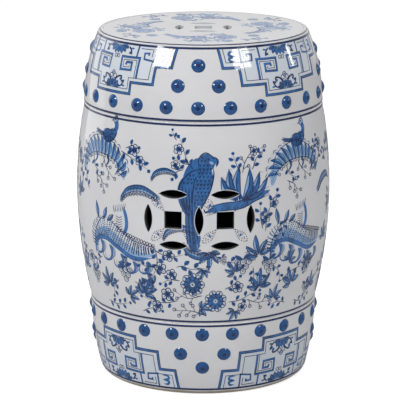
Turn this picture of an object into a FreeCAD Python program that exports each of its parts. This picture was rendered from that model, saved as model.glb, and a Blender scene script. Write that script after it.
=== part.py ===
import FreeCAD, Part

import math
import os

import Sketcher

# A barrel-shaped ceramic garden stool in millimetres, +Z up, standing on z = 0 with its axis on Z.
# The front faces -Y. A turn is an angle in degrees about the axis, from the front towards +X.
# The clay parts are a lower band with its foot, a pierced belly, an upper band and a seat slab.
# Each is luted to the next along a ring seam, and domed studs are luted on both bands.

SIZES = {
    "stool_height": 460.0,
    "wall_thick": 9.0,
    # Belly at its widest, and how far inside that it meets each band at its seam
    "belly_radius": 167.7,
    "lower_seam_inset": 17.3,
    "upper_seam_inset": 10.8,
    "seam_bevel": 1.5,
    # Bands: their heights, the radius of each outer curve seen from the side, and the rounded ends
    "lower_seam": 100.0,
    "upper_band_height": 96.0,
    "lower_curve": 360.0,
    "upper_curve": 230.0,
    "shoulder_round": 6.0,
    "foot_radius": 136.2,
    "foot_round": 9.0,
    "foot_width": 18.0,
    "foot_flange": 12.0,
    "foot_slope": 7.0,
    # Seat slab, the slip-filled gap and the band's rim round it, and the ledge that it lies on
    "seat_thick": 11.0,
    "seat_radius": 131.0,
    "lute_gap": 0.2,
    "rim_width": 4.73,
    "ledge_width": 12.0,
    "ledge_thick": 9.0,
    "ledge_drop": 16.0,
    # Interlocked coin openings in the belly and the single coin in the seat
    "coin_height": 240.5,
    "coin_spacing": 66.8,
    "coin_turn": -1.8,
    "square_side": 22.5,
    "petal_length": 37.5,
    "petal_width": 11.2,
    "seat_coin_reach": 31.5,
    # Domed studs: their own size, then how far from its band's seam each row, pair and single stud lies
    "stud_across": 17.0,
    "stud_rise": 3.0,
    "stud_root": 2.5,
    "row_studs": 24,
    "groups": 4,
    "upper_turn": -2.4,
    "lower_turn": -0.5,
    "upper_row_offset": 18.3,
    "lower_row_offset": 14.8,
    "upper_pair_offset": 45.6,
    "upper_pair_spacing": 51.4,
    "upper_single_offset": 70.7,
    "lower_pair_offset": 41.8,
    "lower_pair_spacing": 56.4,
    "lower_single_offset": 60.5,
}

# How the sketcher numbers a line's or an arc's own points, and its names for the origin and the level axis
START, END, CENTRE = range(1, 4)
ORIGIN, LEVEL_AXIS = (-1, 1), -1
ROUNDING = 0.01

doc = FreeCAD.newDocument("garden_stool")


def make_sheet():
    sheet = doc.addObject("Spreadsheet::Sheet", "sizes")
    for row, (name, value) in enumerate(SIZES.items(), start=1):
        sheet.set(f"A{row}", name)
        sheet.set(f"B{row}", str(value))
        sheet.setAlias(f"B{row}", name)
    doc.recompute()
    return sheet


sheet = make_sheet()


def size(name):
    return float(sheet.get(name))


def count(name):
    return int(round(size(name)))


# Sketch helpers

def new_body(label):
    body = doc.addObject("PartDesign::Body", label)
    body.Label = label
    return body


def new_sketch(body, role, name):
    plane = next(f for f in body.Origin.OriginFeatures if f.Role == role)
    sketch = body.newObject("Sketcher::SketchObject", name)
    sketch.AttachmentSupport = [(plane, "")]
    sketch.MapMode = "FlatFace"
    return sketch


def bind(sketch, constraint, expression):
    index = sketch.addConstraint(constraint)
    sketch.setExpression(f"Constraints[{index}]", expression)


def signed(value, expression):
    """A coordinate's expression, turned positive for a distance measured the other way."""
    return expression if value > 0 else f"-({expression})"


def pin(sketch, kind, geometry, point, value, expression):
    """Sets a point's distance from the origin, to the right or up if value is positive."""
    ends = (*ORIGIN, geometry, point) if value > 0 else (geometry, point, *ORIGIN)
    bind(sketch, Sketcher.Constraint(kind, *ends, abs(value)), expression)


def pin_at(sketch, geometry, point, x, z, x_expression, z_expression):
    pin(sketch, "DistanceX", geometry, point, x, x_expression)
    pin(sketch, "DistanceY", geometry, point, z, z_expression)


def add_line(sketch, start, end):
    ends = [FreeCAD.Vector(x, z, 0) for x, z in (start, end)]
    return sketch.addGeometry(Part.LineSegment(*ends))


def add_arc(sketch, centre, radius, first, last):
    """An arc that runs anticlockwise between two angles in radians."""
    circle = Part.Circle(FreeCAD.Vector(*centre, 0), FreeCAD.Vector(0, 0, 1), radius)
    return sketch.addGeometry(Part.ArcOfCircle(circle, first, last))


def join(sketch, *pairs):
    for first, second in pairs:
        sketch.addConstraint(Sketcher.Constraint("Coincident", *first, *second))


def spin(body, sketch):
    turned = body.newObject("PartDesign::Revolution", body.Label + "_turned")
    turned.Profile = sketch
    turned.ReferenceAxis = (sketch, ["V_Axis"])
    turned.Angle = 360
    doc.recompute()
    return turned


def outer_rim(feature, height):
    """The name of the widest round edge at a height."""
    rims = {}
    for number, edge in enumerate(feature.Shape.Edges, start=1):
        curve = edge.Curve
        if isinstance(curve, Part.Circle) and abs(curve.Center.z - height) < ROUNDING:
            rims[curve.Radius] = f"Edge{number}"
    return rims[max(rims)]


def round_rim(body, feature, height, radius_name):
    rounded = body.newObject("PartDesign::Fillet", f"{body.Label}_{radius_name}")
    rounded.Base = (feature, [outer_rim(feature, height)])
    rounded.setExpression("Radius", f"sizes.{radius_name}")
    doc.recompute()
    return rounded


# Where the outer curve of each band starts and ends, as values and as the sheet's expressions for them

SEAM_HEIGHT = {
    "lower": "sizes.lower_seam",
    "upper": "(sizes.stool_height - sizes.upper_band_height)",
}
SEAM_RADIUS = {band: f"(sizes.belly_radius - sizes.{band}_seam_inset)" for band in SEAM_HEIGHT}
END_RADIUS = {
    "lower": "sizes.foot_radius",
    "upper": "(sizes.seat_radius + sizes.lute_gap + sizes.rim_width)",
}


def outwards_from_seam(band):
    """The direction from a band's seam to its far end: up or down."""
    return 1 if band == "upper" else -1


def seam_height(band):
    if band == "lower":
        return size("lower_seam")
    return size("stool_height") - size("upper_band_height")


def seam_radius(band):
    return size("belly_radius") - size(f"{band}_seam_inset")


def end_of_band(band):
    """The radius and height at which a band's outer curve meets the floor or the top."""
    if band == "lower":
        return size("foot_radius"), 0.0
    return size("seat_radius") + size("lute_gap") + size("rim_width"), size("stool_height")


def band_centre(band):
    """The point that a band's two curves go round, inside the wall."""
    at_seam = (seam_radius(band), seam_height(band) + outwards_from_seam(band) * size("seam_bevel"))
    low, high = sorted((at_seam, end_of_band(band)), key=lambda end: end[1])
    half_across, half_up = (high[0] - low[0]) / 2, (high[1] - low[1]) / 2
    reach = math.sqrt(size(f"{band}_curve") ** 2 / (half_across**2 + half_up**2) - 1)
    return low[0] + half_across - reach * half_up, low[1] + half_up + reach * half_across


def band_radius_at(band, height, inset=0.0):
    across, level = band_centre(band)
    return across + math.sqrt((size(f"{band}_curve") - inset) ** 2 - (height - level) ** 2)


def add_band_arcs(sketch, band, outer_end, inner_end):
    """The outer and inner curves of a band's wall, from its seam to the heights given."""
    bevel = outwards_from_seam(band) * size("seam_bevel")
    wall = size("wall_thick")
    seam = seam_height(band)
    across, level = band_centre(band)
    arcs = []
    for inset, less, start, end in (
        (0.0, "", seam + bevel, outer_end),
        (wall, " - sizes.wall_thick", seam, inner_end),
    ):
        curve = size(f"{band}_curve") - inset
        ends = sorted(math.asin((height - level) / curve) for height in (start, end))
        arc = add_arc(sketch, (across, level), curve, *ends)
        bind(sketch, Sketcher.Constraint("Radius", arc, curve), f"sizes.{band}_curve{less}")
        arcs.append(arc)
    outer, inner = arcs
    join(sketch, ((outer, CENTRE), (inner, CENTRE)))
    far_point = END if band == "upper" else START
    pin(sketch, "DistanceX", outer, far_point, end_of_band(band)[0], END_RADIUS[band])
    return arcs


def add_bevel(sketch, band, arc, arc_end, step, seam_line):
    """The small slope that opens the seam into a groove, between a wall's outer arc and its end face."""
    height, radius = SEAM_HEIGHT[band], SEAM_RADIUS[band]
    across, level = seam_radius(band), seam_height(band)
    bevel = size("seam_bevel")
    side = "+" if step > 0 else "-"
    slope = add_line(sketch, (across, level + step * bevel), (across - bevel, level))
    join(sketch, ((arc, arc_end), (slope, START)), ((slope, END), (seam_line, END)))
    pin_at(
        sketch, slope, START, across, level + step * bevel,
        radius, f"{height} {side} sizes.seam_bevel",
    )
    pin_at(sketch, slope, END, across - bevel, level, f"{radius} - sizes.seam_bevel", height)


def add_end_face(sketch, band, inner_radius):
    """The flat end of a wall at a seam, from inside to outside."""
    level = seam_height(band)
    return add_line(sketch, (inner_radius, level), (seam_radius(band) - size("seam_bevel"), level))


# Shells

def make_lower_band():
    body = new_body("lower_band")
    sketch = new_sketch(body, "XZ_Plane", "lower_band_outline")
    seam, flange = seam_height("lower"), size("foot_flange")
    slope_end = flange + size("foot_slope")
    outer, inner = add_band_arcs(sketch, "lower", 0, slope_end)
    foot_outer = size("foot_radius")
    foot_inner = foot_outer - size("foot_width")
    wall_foot = band_radius_at("lower", slope_end, size("wall_thick"))
    under = add_line(sketch, (foot_outer, 0), (foot_inner, 0))
    side = add_line(sketch, (foot_inner, 0), (foot_inner, flange))
    slope = add_line(sketch, (foot_inner, flange), (wall_foot, slope_end))
    top = add_end_face(sketch, "lower", band_radius_at("lower", seam, size("wall_thick")))
    join(
        sketch,
        ((outer, START), (under, START)),
        ((under, END), (side, START)),
        ((side, END), (slope, START)),
        ((slope, END), (inner, START)),
        ((inner, END), (top, START)),
    )
    add_bevel(sketch, "lower", outer, END, -1, top)
    pin(sketch, "DistanceY", top, START, seam, SEAM_HEIGHT["lower"])
    sketch.addConstraint(Sketcher.Constraint("PointOnObject", under, START, LEVEL_AXIS))
    sketch.addConstraint(Sketcher.Constraint("Horizontal", under))
    sketch.addConstraint(Sketcher.Constraint("Vertical", side))
    foot = Sketcher.Constraint("DistanceX", under, END, under, START, size("foot_width"))
    bind(sketch, foot, "sizes.foot_width")
    pin(sketch, "DistanceY", side, END, flange, "sizes.foot_flange")
    pin(sketch, "DistanceY", slope, END, slope_end, "sizes.foot_flange + sizes.foot_slope")
    round_rim(body, spin(body, sketch), 0, "foot_round")
    return body


def make_upper_band():
    body = new_body("upper_band")
    sketch = new_sketch(body, "XZ_Plane", "upper_band_outline")
    seam = seam_height("upper")
    shoulder, top = end_of_band("upper")
    shelf = top - size("seat_thick")
    shelf_under = shelf - size("ledge_thick")
    drop_end = shelf_under - size("ledge_drop")
    rebate = size("seat_radius") + size("lute_gap")
    shelf_inner = size("seat_radius") - size("ledge_width")
    outer, inner = add_band_arcs(sketch, "upper", top, drop_end)
    wall_end = band_radius_at("upper", drop_end, size("wall_thick"))
    rim = add_line(sketch, (shoulder, top), (rebate, top))
    edge = add_line(sketch, (rebate, top), (rebate, shelf))
    ledge = add_line(sketch, (rebate, shelf), (shelf_inner, shelf))
    nose = add_line(sketch, (shelf_inner, shelf), (shelf_inner, shelf_under))
    slope = add_line(sketch, (shelf_inner, shelf_under), (wall_end, drop_end))
    bottom = add_end_face(sketch, "upper", band_radius_at("upper", seam, size("wall_thick")))
    join(
        sketch,
        ((outer, END), (rim, START)),
        ((rim, END), (edge, START)),
        ((edge, END), (ledge, START)),
        ((ledge, END), (nose, START)),
        ((nose, END), (slope, START)),
        ((slope, END), (inner, END)),
        ((inner, START), (bottom, START)),
    )
    add_bevel(sketch, "upper", outer, START, 1, bottom)
    pin(sketch, "DistanceY", bottom, START, seam, SEAM_HEIGHT["upper"])
    for line in (rim, ledge):
        sketch.addConstraint(Sketcher.Constraint("Horizontal", line))
    for line in (edge, nose):
        sketch.addConstraint(Sketcher.Constraint("Vertical", line))
    pin_at(
        sketch, rim, END, rebate, top,
        "sizes.seat_radius + sizes.lute_gap", "sizes.stool_height",
    )
    pin_at(
        sketch, ledge, END, shelf_inner, shelf,
        "sizes.seat_radius - sizes.ledge_width", "sizes.stool_height - sizes.seat_thick",
    )
    under = "sizes.stool_height - sizes.seat_thick - sizes.ledge_thick"
    pin(sketch, "DistanceY", nose, END, shelf_under, under)
    pin(sketch, "DistanceY", slope, END, drop_end, under + " - sizes.ledge_drop")
    round_rim(body, spin(body, sketch), top, "shoulder_round")
    return body


def belly_curve():
    """Centre height and radius of the side arc that is widest at belly_radius and ends at both seams."""
    low = seam_height("lower") + size("seam_bevel")
    high = seam_height("upper") - size("seam_bevel")
    low_in, high_in = size("lower_seam_inset"), size("upper_seam_inset")
    a = high_in - low_in
    b = -2 * (high_in * low - low_in * high)
    c = high_in * low**2 - low_in * high**2 - low_in * high_in * a
    if abs(a) < 1e-9:
        level = -c / b
    else:
        roots = [(-b + side * math.sqrt(b * b - 4 * a * c)) / (2 * a) for side in (1, -1)]
        middle = (low + high) / 2
        level = min(roots, key=lambda root: abs(root - middle))
    return level, (low_in**2 + (low - level) ** 2) / (2 * low_in)


def make_belly_shell(body):
    sketch = new_sketch(body, "XZ_Plane", "belly_outline")
    low, high = seam_height("lower"), seam_height("upper")
    bevel, wall = size("seam_bevel"), size("wall_thick")
    level, curve = belly_curve()
    across = size("belly_radius") - curve
    arcs = []
    for inset, less, heights in (
        (0.0, "", (low + bevel, high - bevel)),
        (wall, " - sizes.wall_thick", (low, high)),
    ):
        radius = curve - inset
        ends = [math.asin((height - level) / radius) for height in heights]
        arc = add_arc(sketch, (across, level), radius, *ends)
        widest = sketch.addGeometry(Part.Point(FreeCAD.Vector(across + radius, level, 0)), True)
        sketch.addConstraint(Sketcher.Constraint("PointOnObject", widest, START, arc))
        sketch.addConstraint(Sketcher.Constraint("Horizontal", widest, START, arc, CENTRE))
        reach = size("belly_radius") - inset
        pin(sketch, "DistanceX", widest, START, reach, "sizes.belly_radius" + less)
        arcs.append(arc)
    outer, inner = arcs
    join(sketch, ((outer, CENTRE), (inner, CENTRE)))
    for band, end, step, height in (("lower", START, 1, low), ("upper", END, -1, high)):
        inner_radius = across + math.sqrt((curve - wall) ** 2 - (height - level) ** 2)
        face = add_end_face(sketch, band, inner_radius)
        join(sketch, ((inner, end), (face, START)))
        pin(sketch, "DistanceY", face, START, height, SEAM_HEIGHT[band])
        add_bevel(sketch, band, outer, end, step, face)
    return spin(body, sketch)


# Coin openings: a square hole with pointed petals round it

PETAL_RADIUS = "(sizes.petal_length ^ 2 + sizes.petal_width ^ 2) / (4 * sizes.petal_width)"


def draw_petal(sketch, centre, expressions, upright):
    """A pointed opening between two arcs, lying level or standing upright, its tips on its centre line."""
    long, wide = size("petal_length"), size("petal_width")
    radius = (long**2 + wide**2) / (4 * wide)
    half = math.asin(long / 2 / radius)
    back = radius - wide / 2
    quarter = math.pi / 2
    arcs = []
    for side in (1, -1):
        offset = (side * back, 0) if upright else (0, -side * back)
        middle = (quarter + side * quarter) if upright else side * quarter
        at = (centre[0] + offset[0], centre[1] + offset[1])
        arcs.append(add_arc(sketch, at, radius, middle - half, middle + half))
        bind(sketch, Sketcher.Constraint("Radius", arcs[-1], radius), PETAL_RADIUS)
    join(sketch, ((arcs[0], END), (arcs[1], START)), ((arcs[1], END), (arcs[0], START)))
    axis = 1 if upright else 0
    for point in (START, END):
        # The first arc runs to the left tip when level, and to the lower tip when upright
        sign = 1 if point == START else -1
        for along, kind in enumerate(("DistanceX", "DistanceY")):
            value, text = centre[along], expressions[along]
            if along == axis:
                value += sign * long / 2
                text = f"{text} {'+' if sign > 0 else '-'} sizes.petal_length / 2"
            if abs(value) < 1e-9:
                on_axis = Sketcher.Constraint("PointOnObject", arcs[0], point, -2 if along == 0 else -1)
                sketch.addConstraint(on_axis)
            else:
                pin(sketch, kind, arcs[0], point, value, signed(value, text))


def draw_square(sketch, level, level_expression):
    half = size("square_side") / 2
    corners = [(-half, level - half), (half, level - half), (half, level + half), (-half, level + half)]
    lines = [add_line(sketch, corners[i], corners[(i + 1) % 4]) for i in range(4)]
    join(sketch, *(((lines[i], END), (lines[(i + 1) % 4], START)) for i in range(4)))
    for line, kind in zip(lines, ("Horizontal", "Vertical", "Horizontal", "Vertical")):
        sketch.addConstraint(Sketcher.Constraint(kind, line))
    for line, sign in ((lines[0], "-"), (lines[2], "+")):
        x = -half if sign == "-" else half
        z = level + x
        z_expression = f"{level_expression} {sign} sizes.square_side / 2"
        pin(sketch, "DistanceX", line, START, x, "sizes.square_side / 2")
        pin(sketch, "DistanceY", line, START, z, signed(z, z_expression))


def cut_outwards(body, sketch, name):
    """Cuts an outline from the stool's axis out through the wall on the front side."""
    before = body.Shape.Volume
    pocket = body.newObject("PartDesign::Pocket", name)
    pocket.Profile = sketch
    pocket.Type = "Length"
    pocket.setExpression("Length", "sizes.belly_radius + sizes.wall_thick")
    pocket.Reversed = True
    doc.recompute()
    if not pocket.Shape.Volume < before - 1:
        raise RuntimeError(f"{name} cuts nothing")
    return pocket


def make_belly():
    body = new_body("belly_wall")
    make_belly_shell(body)
    level, spacing = size("coin_height"), size("coin_spacing")
    coin_turn = "sizes.coin_spacing / 2 / sizes.belly_radius * 180 / pi"
    cuts = []
    # From the left petal to the right one, half a coin spacing apart: petal, coin, petal, coin, petal
    for step in range(-2, 3):
        name = f"belly_opening_{step + 3}"
        sketch = new_sketch(body, "XZ_Plane", name + "_outline")
        sketch.AttachmentOffset = FreeCAD.Placement(
            FreeCAD.Vector(), FreeCAD.Rotation(FreeCAD.Vector(0, 1, 0), 1.0)
        )
        turn = f"sizes.coin_turn + ({step}) * {coin_turn}"
        sketch.setExpression(".AttachmentOffset.Rotation.Angle", turn)
        if step % 2:
            draw_square(sketch, level, "sizes.coin_height")
            for sign, side in ((1, "+"), (-1, "-")):
                at = (0, level + sign * spacing / 2)
                expressions = ("0", f"sizes.coin_height {side} sizes.coin_spacing / 2")
                draw_petal(sketch, at, expressions, upright=False)
        else:
            draw_petal(sketch, (0, level), ("0", "sizes.coin_height"), upright=True)
        doc.recompute()
        cuts.append(cut_outwards(body, sketch, name))
    # The same pair of coins pierces the back
    both_sides = body.newObject("PartDesign::PolarPattern", "front_and_back")
    both_sides.Originals = cuts
    axis = next(f for f in body.Origin.OriginFeatures if f.Role == "Z_Axis")
    both_sides.Axis = (axis, [""])
    both_sides.Angle = 360
    both_sides.Occurrences = 2
    body.Tip = both_sides
    doc.recompute()
    return body


def make_seat():
    body = new_body("seat_slab")
    outline = new_sketch(body, "XY_Plane", "seat_outline")
    outline.setExpression(".AttachmentOffset.Base.z", "sizes.stool_height - sizes.seat_thick")
    origin = FreeCAD.Vector()
    circle = outline.addGeometry(Part.Circle(origin, FreeCAD.Vector(0, 0, 1), size("seat_radius")))
    outline.addConstraint(Sketcher.Constraint("Coincident", circle, CENTRE, *ORIGIN))
    round_size = Sketcher.Constraint("Radius", circle, size("seat_radius"))
    bind(outline, round_size, "sizes.seat_radius")
    slab = body.newObject("PartDesign::Pad", "seat_disc")
    slab.Profile = outline
    slab.setExpression("Length", "sizes.seat_thick")
    doc.recompute()
    coin = new_sketch(body, "XY_Plane", "seat_coin_outline")
    coin.setExpression(".AttachmentOffset.Base.z", "sizes.stool_height")
    draw_square(coin, 0, "0")
    reach = size("seat_coin_reach")
    for sign, side in ((1, ""), (-1, "-")):
        text = f"{side}sizes.seat_coin_reach"
        draw_petal(coin, (0, sign * reach), ("0", text), upright=False)
        draw_petal(coin, (sign * reach, 0), (text, "0"), upright=True)
    doc.recompute()
    before = body.Shape.Volume
    pocket = body.newObject("PartDesign::Pocket", "seat_coin")
    pocket.Profile = coin
    pocket.Type = "Length"
    pocket.setExpression("Length", "sizes.seat_thick")
    doc.recompute()
    if not pocket.Shape.Volume < before - 1:
        raise RuntimeError("seat_coin cuts nothing")
    return body


# Studs: the cap of a ball, set square to the band's curve and cut to the band's face

STUD_BALL = "((sizes.stud_across / 2) ^ 2 + sizes.stud_rise ^ 2) / (2 * sizes.stud_rise)"


def make_stud(name, band, wall, height, turn):
    rise = size("stud_rise")
    ball_radius = ((size("stud_across") / 2) ** 2 + rise**2) / (2 * rise)
    across, level = band_centre(band)
    curve = size(f"{band}_curve")
    lean = math.asin((height - level) / curve)
    middle = curve + rise - ball_radius
    radial = across + middle * math.cos(lean)
    angle = math.radians(turn)
    outwards = FreeCAD.Vector(math.sin(angle), -math.cos(angle), 0)
    normal = outwards * math.cos(lean) + FreeCAD.Vector(0, 0, math.sin(lean))
    centre = outwards * radial + FreeCAD.Vector(0, 0, level + middle * math.sin(lean))
    ball = doc.addObject("Part::Sphere", name + "_ball")
    ball.setExpression("Radius", STUD_BALL)
    cut_level = f"1 - (sizes.stud_rise + sizes.stud_root) / ({STUD_BALL})"
    ball.setExpression("Angle1", f"asin({cut_level})")
    ball.Placement = FreeCAD.Placement(centre, FreeCAD.Rotation(FreeCAD.Vector(0, 0, 1), normal))
    stud = doc.addObject("Part::Cut", name)
    stud.Base = ball
    stud.Tool = wall
    stud.Label = name
    return stud


def stud_height(band, place):
    return seam_height(band) + outwards_from_seam(band) * size(f"{band}_{place}_offset")


def make_row(band, wall):
    number = count("row_studs")
    studs = []
    for index in range(number):
        turn = size(f"{band}_turn") + 360 * index / number
        name = f"{band}_row_stud_{index + 1:02d}"
        studs.append(make_stud(name, band, wall, stud_height(band, "row"), turn))
    return studs


def make_groups(band, wall):
    """Three studs in a triangle in each gap between the fret panels."""
    number = count("groups")
    pair_height = stud_height(band, "pair")
    pair_radius = band_radius_at(band, pair_height)
    spread = math.degrees(size(f"{band}_pair_spacing") / 2 / pair_radius)
    places = (
        (stud_height(band, "single"), 0),
        (pair_height, -spread),
        (pair_height, spread),
    )
    groups = []
    for index in range(number):
        turn = size(f"{band}_turn") + 360 * index / number
        name = f"{band}_gap_studs_{index + 1}"
        group = doc.addObject("Part::Compound", name)
        group.Label = name
        group.Links = [
            make_stud(f"{name}_{place}", band, wall, height, turn + aside)
            for place, (height, aside) in enumerate(places, start=1)
        ]
        groups.append(group)
    return groups


# The whole stool

def check_document():
    doc.recompute()
    for item in doc.Objects:
        if "Invalid" in item.State or "Error" in item.State:
            raise RuntimeError(f"{item.Label} failed: {item.State}")


def write_part(part):
    shape = part.Shape
    if shape.isNull() or not shape.isValid() or not shape.Solids:
        raise RuntimeError(f"{part.Label} has no valid solid")
    shape.exportStep(f"parts/{part.Label}.step")
    print(f"{part.Label}: {len(shape.Solids)} solid, {shape.Volume / 1000:.2f} cm3")


def main():
    lower_band = make_lower_band()
    upper_band = make_upper_band()
    parts = [lower_band, upper_band, make_belly(), make_seat()]
    for band, wall in (("lower", lower_band), ("upper", upper_band)):
        parts += make_row(band, wall)
        parts += make_groups(band, wall)
    check_document()
    os.makedirs("parts", exist_ok=True)
    for part in parts:
        write_part(part)


main()
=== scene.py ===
import copy
import itertools
import math

import bmesh
import bpy
from mathutils import Matrix, Vector


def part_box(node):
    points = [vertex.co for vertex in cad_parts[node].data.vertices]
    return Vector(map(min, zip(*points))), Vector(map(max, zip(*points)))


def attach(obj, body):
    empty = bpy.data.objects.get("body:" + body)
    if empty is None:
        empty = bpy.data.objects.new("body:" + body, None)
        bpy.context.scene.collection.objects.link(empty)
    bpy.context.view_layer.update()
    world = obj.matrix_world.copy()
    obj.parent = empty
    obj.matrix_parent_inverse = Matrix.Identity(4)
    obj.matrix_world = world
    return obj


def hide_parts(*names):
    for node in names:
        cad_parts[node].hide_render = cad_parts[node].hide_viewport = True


bl_info = {
    "name": "Painted Garden Stool",
    "version": (1, 0, 0),
    "blender": (4, 5, 0),
    "location": "View3D > Sidebar > Garden Stool",
    "description": "Glazes and paints a pierced ceramic garden stool and sets it on a plain stage",
    "category": "Object",
}

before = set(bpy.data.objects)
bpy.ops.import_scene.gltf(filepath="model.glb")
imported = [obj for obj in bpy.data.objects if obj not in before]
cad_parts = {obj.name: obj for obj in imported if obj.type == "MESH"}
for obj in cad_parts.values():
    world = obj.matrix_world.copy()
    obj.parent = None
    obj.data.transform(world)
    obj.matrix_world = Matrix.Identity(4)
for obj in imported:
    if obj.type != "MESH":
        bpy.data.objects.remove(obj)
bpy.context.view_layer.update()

# Lengths in this script are millimetres unless they go straight into Blender, which takes metres.
# A turn is in degrees about the stool's axis, from the front (-Y) towards +X.
MM = 0.001
SEAM_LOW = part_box("belly_wall")[0][2] / MM
SEAM_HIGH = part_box("belly_wall")[1][2] / MM
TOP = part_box("seat_slab")[1][2] / MM
SEAT_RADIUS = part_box("seat_slab")[1][0] / MM
LOWER_SEAM_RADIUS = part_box("lower_band")[1][0] / MM
UPPER_SEAM_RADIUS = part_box("upper_band")[1][0] / MM
BELLY_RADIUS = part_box("belly_wall")[1][1] / MM

# The side curves of the walls, as the potter's ribs cut them
FOOT_RADIUS = 136.2
SHOULDER_RADIUS = SEAT_RADIUS + 4.93
SEAM_BEVEL = 1.5
LOWER_RIB, BELLY_RIB, UPPER_RIB = 360.0, 621.6, 230.0
SHOULDER_ROUND = 6.0

# The belly's and the seat's bare skins are drawn in by this much, so that the painted coats end
# where the clay does in the solid model
COAT_ROOM = 0.35
# How deep each mark is rooted in the skin
SINK = 0.15

# Coats, from the lowest to the highest, how far each stands over the skin, and what each is painted with
COATS = {"reserve": 0.05, "pale": 0.09, "wash": 0.14, "line": 0.20}
COAT_NAMES = list(COATS)
WALL_PAINTS = ("painted_reserve", "painted_pale_wash", "painted_cobalt", "painted_line")
# The seat's marks are painted in fainter colours than the walls'
SEAT_PAINTS = ("painted_reserve", "painted_reserve", "worn_seat_wash", "worn_seat_line")
# Each mark lies a fine step above the one before, so that marks of one coat cross without sharing a surface
FINE_STEP, FINE_STEPS = 0.0006, 80
TINY_AREA = 0.0004

FRONT_TURN = -1.8
BACK_TURN = FRONT_TURN + 180


class SideCurve:
    """A wall's outer line seen from the side: an arc between two points (radius, height)."""

    def __init__(self, low, high, rib):
        half_across, half_up = (high[0] - low[0]) / 2, (high[1] - low[1]) / 2
        reach = math.sqrt(rib**2 / (half_across**2 + half_up**2) - 1)
        self.rib = rib
        self.across = low[0] + half_across - reach * half_up
        self.level = low[1] + half_up + reach * half_across

    def lean(self, height):
        """The slope of the wall's outward direction above the level."""
        return math.asin(max(-1, min(1, (height - self.level) / self.rib)))


def shoulder_centre(side):
    """The middle of the round between the upper wall and the flat top."""
    level = TOP - SHOULDER_ROUND
    inner = side.rib - SHOULDER_ROUND
    return side.across + math.sqrt(inner**2 - (level - side.level) ** 2), level


LOWER_SIDE = SideCurve((FOOT_RADIUS, 0), (LOWER_SEAM_RADIUS, SEAM_LOW - SEAM_BEVEL), LOWER_RIB)
BELLY_SIDE = SideCurve(
    (LOWER_SEAM_RADIUS, SEAM_LOW + SEAM_BEVEL), (UPPER_SEAM_RADIUS, SEAM_HIGH - SEAM_BEVEL), BELLY_RIB
)
UPPER_SIDE = SideCurve((UPPER_SEAM_RADIUS, SEAM_HIGH + SEAM_BEVEL), (SHOULDER_RADIUS, TOP), UPPER_RIB)
ROUND_ACROSS, ROUND_LEVEL = shoulder_centre(UPPER_SIDE)
ROUND_START = ROUND_LEVEL + SHOULDER_ROUND * (ROUND_LEVEL - UPPER_SIDE.level) / (UPPER_RIB - SHOULDER_ROUND)


def wall_place(turn, height, lift=0.0):
    """A point of the outer wall in metres, lifted off it by a coat's height."""
    if height > ROUND_START:
        across, level, rib = ROUND_ACROSS, ROUND_LEVEL, SHOULDER_ROUND
    else:
        on_belly = SEAM_LOW < height < SEAM_HIGH
        side = BELLY_SIDE if on_belly else LOWER_SIDE if height <= SEAM_LOW else UPPER_SIDE
        across, level, rib = side.across, side.level, side.rib - (COAT_ROOM if on_belly else 0)
    slope = math.asin(max(-1, min(1, (height - level) / rib)))
    radius = across + (rib + lift) * math.cos(slope)
    rise = level + (rib + lift) * math.sin(slope)
    angle = math.radians(turn)
    return Vector((radius * math.sin(angle), -radius * math.cos(angle), rise)) * MM


def wall_radius(height):
    place = wall_place(0, height)
    return -place.y / MM


# Brush marks


def even(along):
    return 1.0


def leaf(along):
    return max(0.05, math.sin(math.pi * along) ** 0.8)


def drop(along):
    """Thin where the brush lands and full near the end."""
    return max(0.05, math.sin(math.pi * along**1.7) ** 0.8)


def flick(along):
    """Full where the brush lands, then drawn out to a point."""
    return max(0.06, min(1.0, 8 * along + 0.3) * (1 - along) ** 0.7)


def flick_in(along):
    return flick(1 - along)


def soft(along):
    return max(0.1, min(1.0, 2.2 * math.sin(math.pi * along)))


def plump(along):
    """Full like a bird's body, widest a third of the way down."""
    return max(0.08, math.sin(math.pi * along**0.75) ** 0.6)


def smooth_line(points, step):
    """Points along a smooth line through the given ones, about a step apart."""
    line = []
    ends = [2 * points[0] - points[1], *points, 2 * points[-1] - points[-2]]
    for before, start, end, after in zip(ends, ends[1:], ends[2:], ends[3:]):
        pieces = max(2, math.ceil((end - start).length / step))
        for piece in range(pieces):
            t = piece / pieces
            line.append(
                start
                + (end - before) * (t / 2)
                + (before * 2 - start * 5 + end * 4 - after) * (t * t / 2)
                + ((start - end) * 3 + after - before) * (t**3 / 2)
            )
    line.append(points[-1].copy())
    return line


def straight_line(points, step):
    """Points along the straight runs between the given ones, at most a step apart."""
    line = [points[0]]
    for start, end in zip(points, points[1:]):
        pieces = max(1, math.ceil((end - start).length / step))
        line += [start.lerp(end, (piece + 1) / pieces) for piece in range(pieces)]
    return line


def spots_along(points, count, first=0.0, last=1.0):
    """Evenly spaced spots along a smooth line, each with the line's direction and the share run so far."""
    line = smooth_line([Vector(point) for point in points], 1.0)
    for number in range(count):
        share = first + (last - first) * (number + 0.5) / count
        place = min(len(line) - 2, int(share * (len(line) - 1)))
        yield line[place], (line[place + 1] - line[place]).normalized(), share


def side_offsets(line):
    """For each point of a line, the sideways direction, longer where two runs meet at a corner."""
    runs = [(end - start).normalized() for start, end in zip(line, line[1:])]
    closed = (line[0] - line[-1]).length < 1e-6
    first, last = (runs[-1], runs[0]) if closed else (runs[0], runs[-1])
    offsets = []
    for before, after in zip([first, *runs], [*runs, last]):
        along = before + after
        if along.length < 0.2:
            along = after.copy()
        along.normalize()
        stretch = 1 / max(0.5, along.dot(after))
        offsets.append(Vector((-along.y, along.x)) * stretch)
    return offsets


def beside(points, distance):
    """The line moved sideways by a distance."""
    line = [Vector(point) for point in points]
    return [point + aside * distance for point, aside in zip(line, side_offsets(line))]


def spoke(turn):
    """The flat direction at a turn in degrees, from x towards y."""
    return Vector((math.cos(math.radians(turn)), math.sin(math.radians(turn))))


def moved(points, across=0.0, up=0.0):
    return [(x + across, y + up) for x, y in points]


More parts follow.
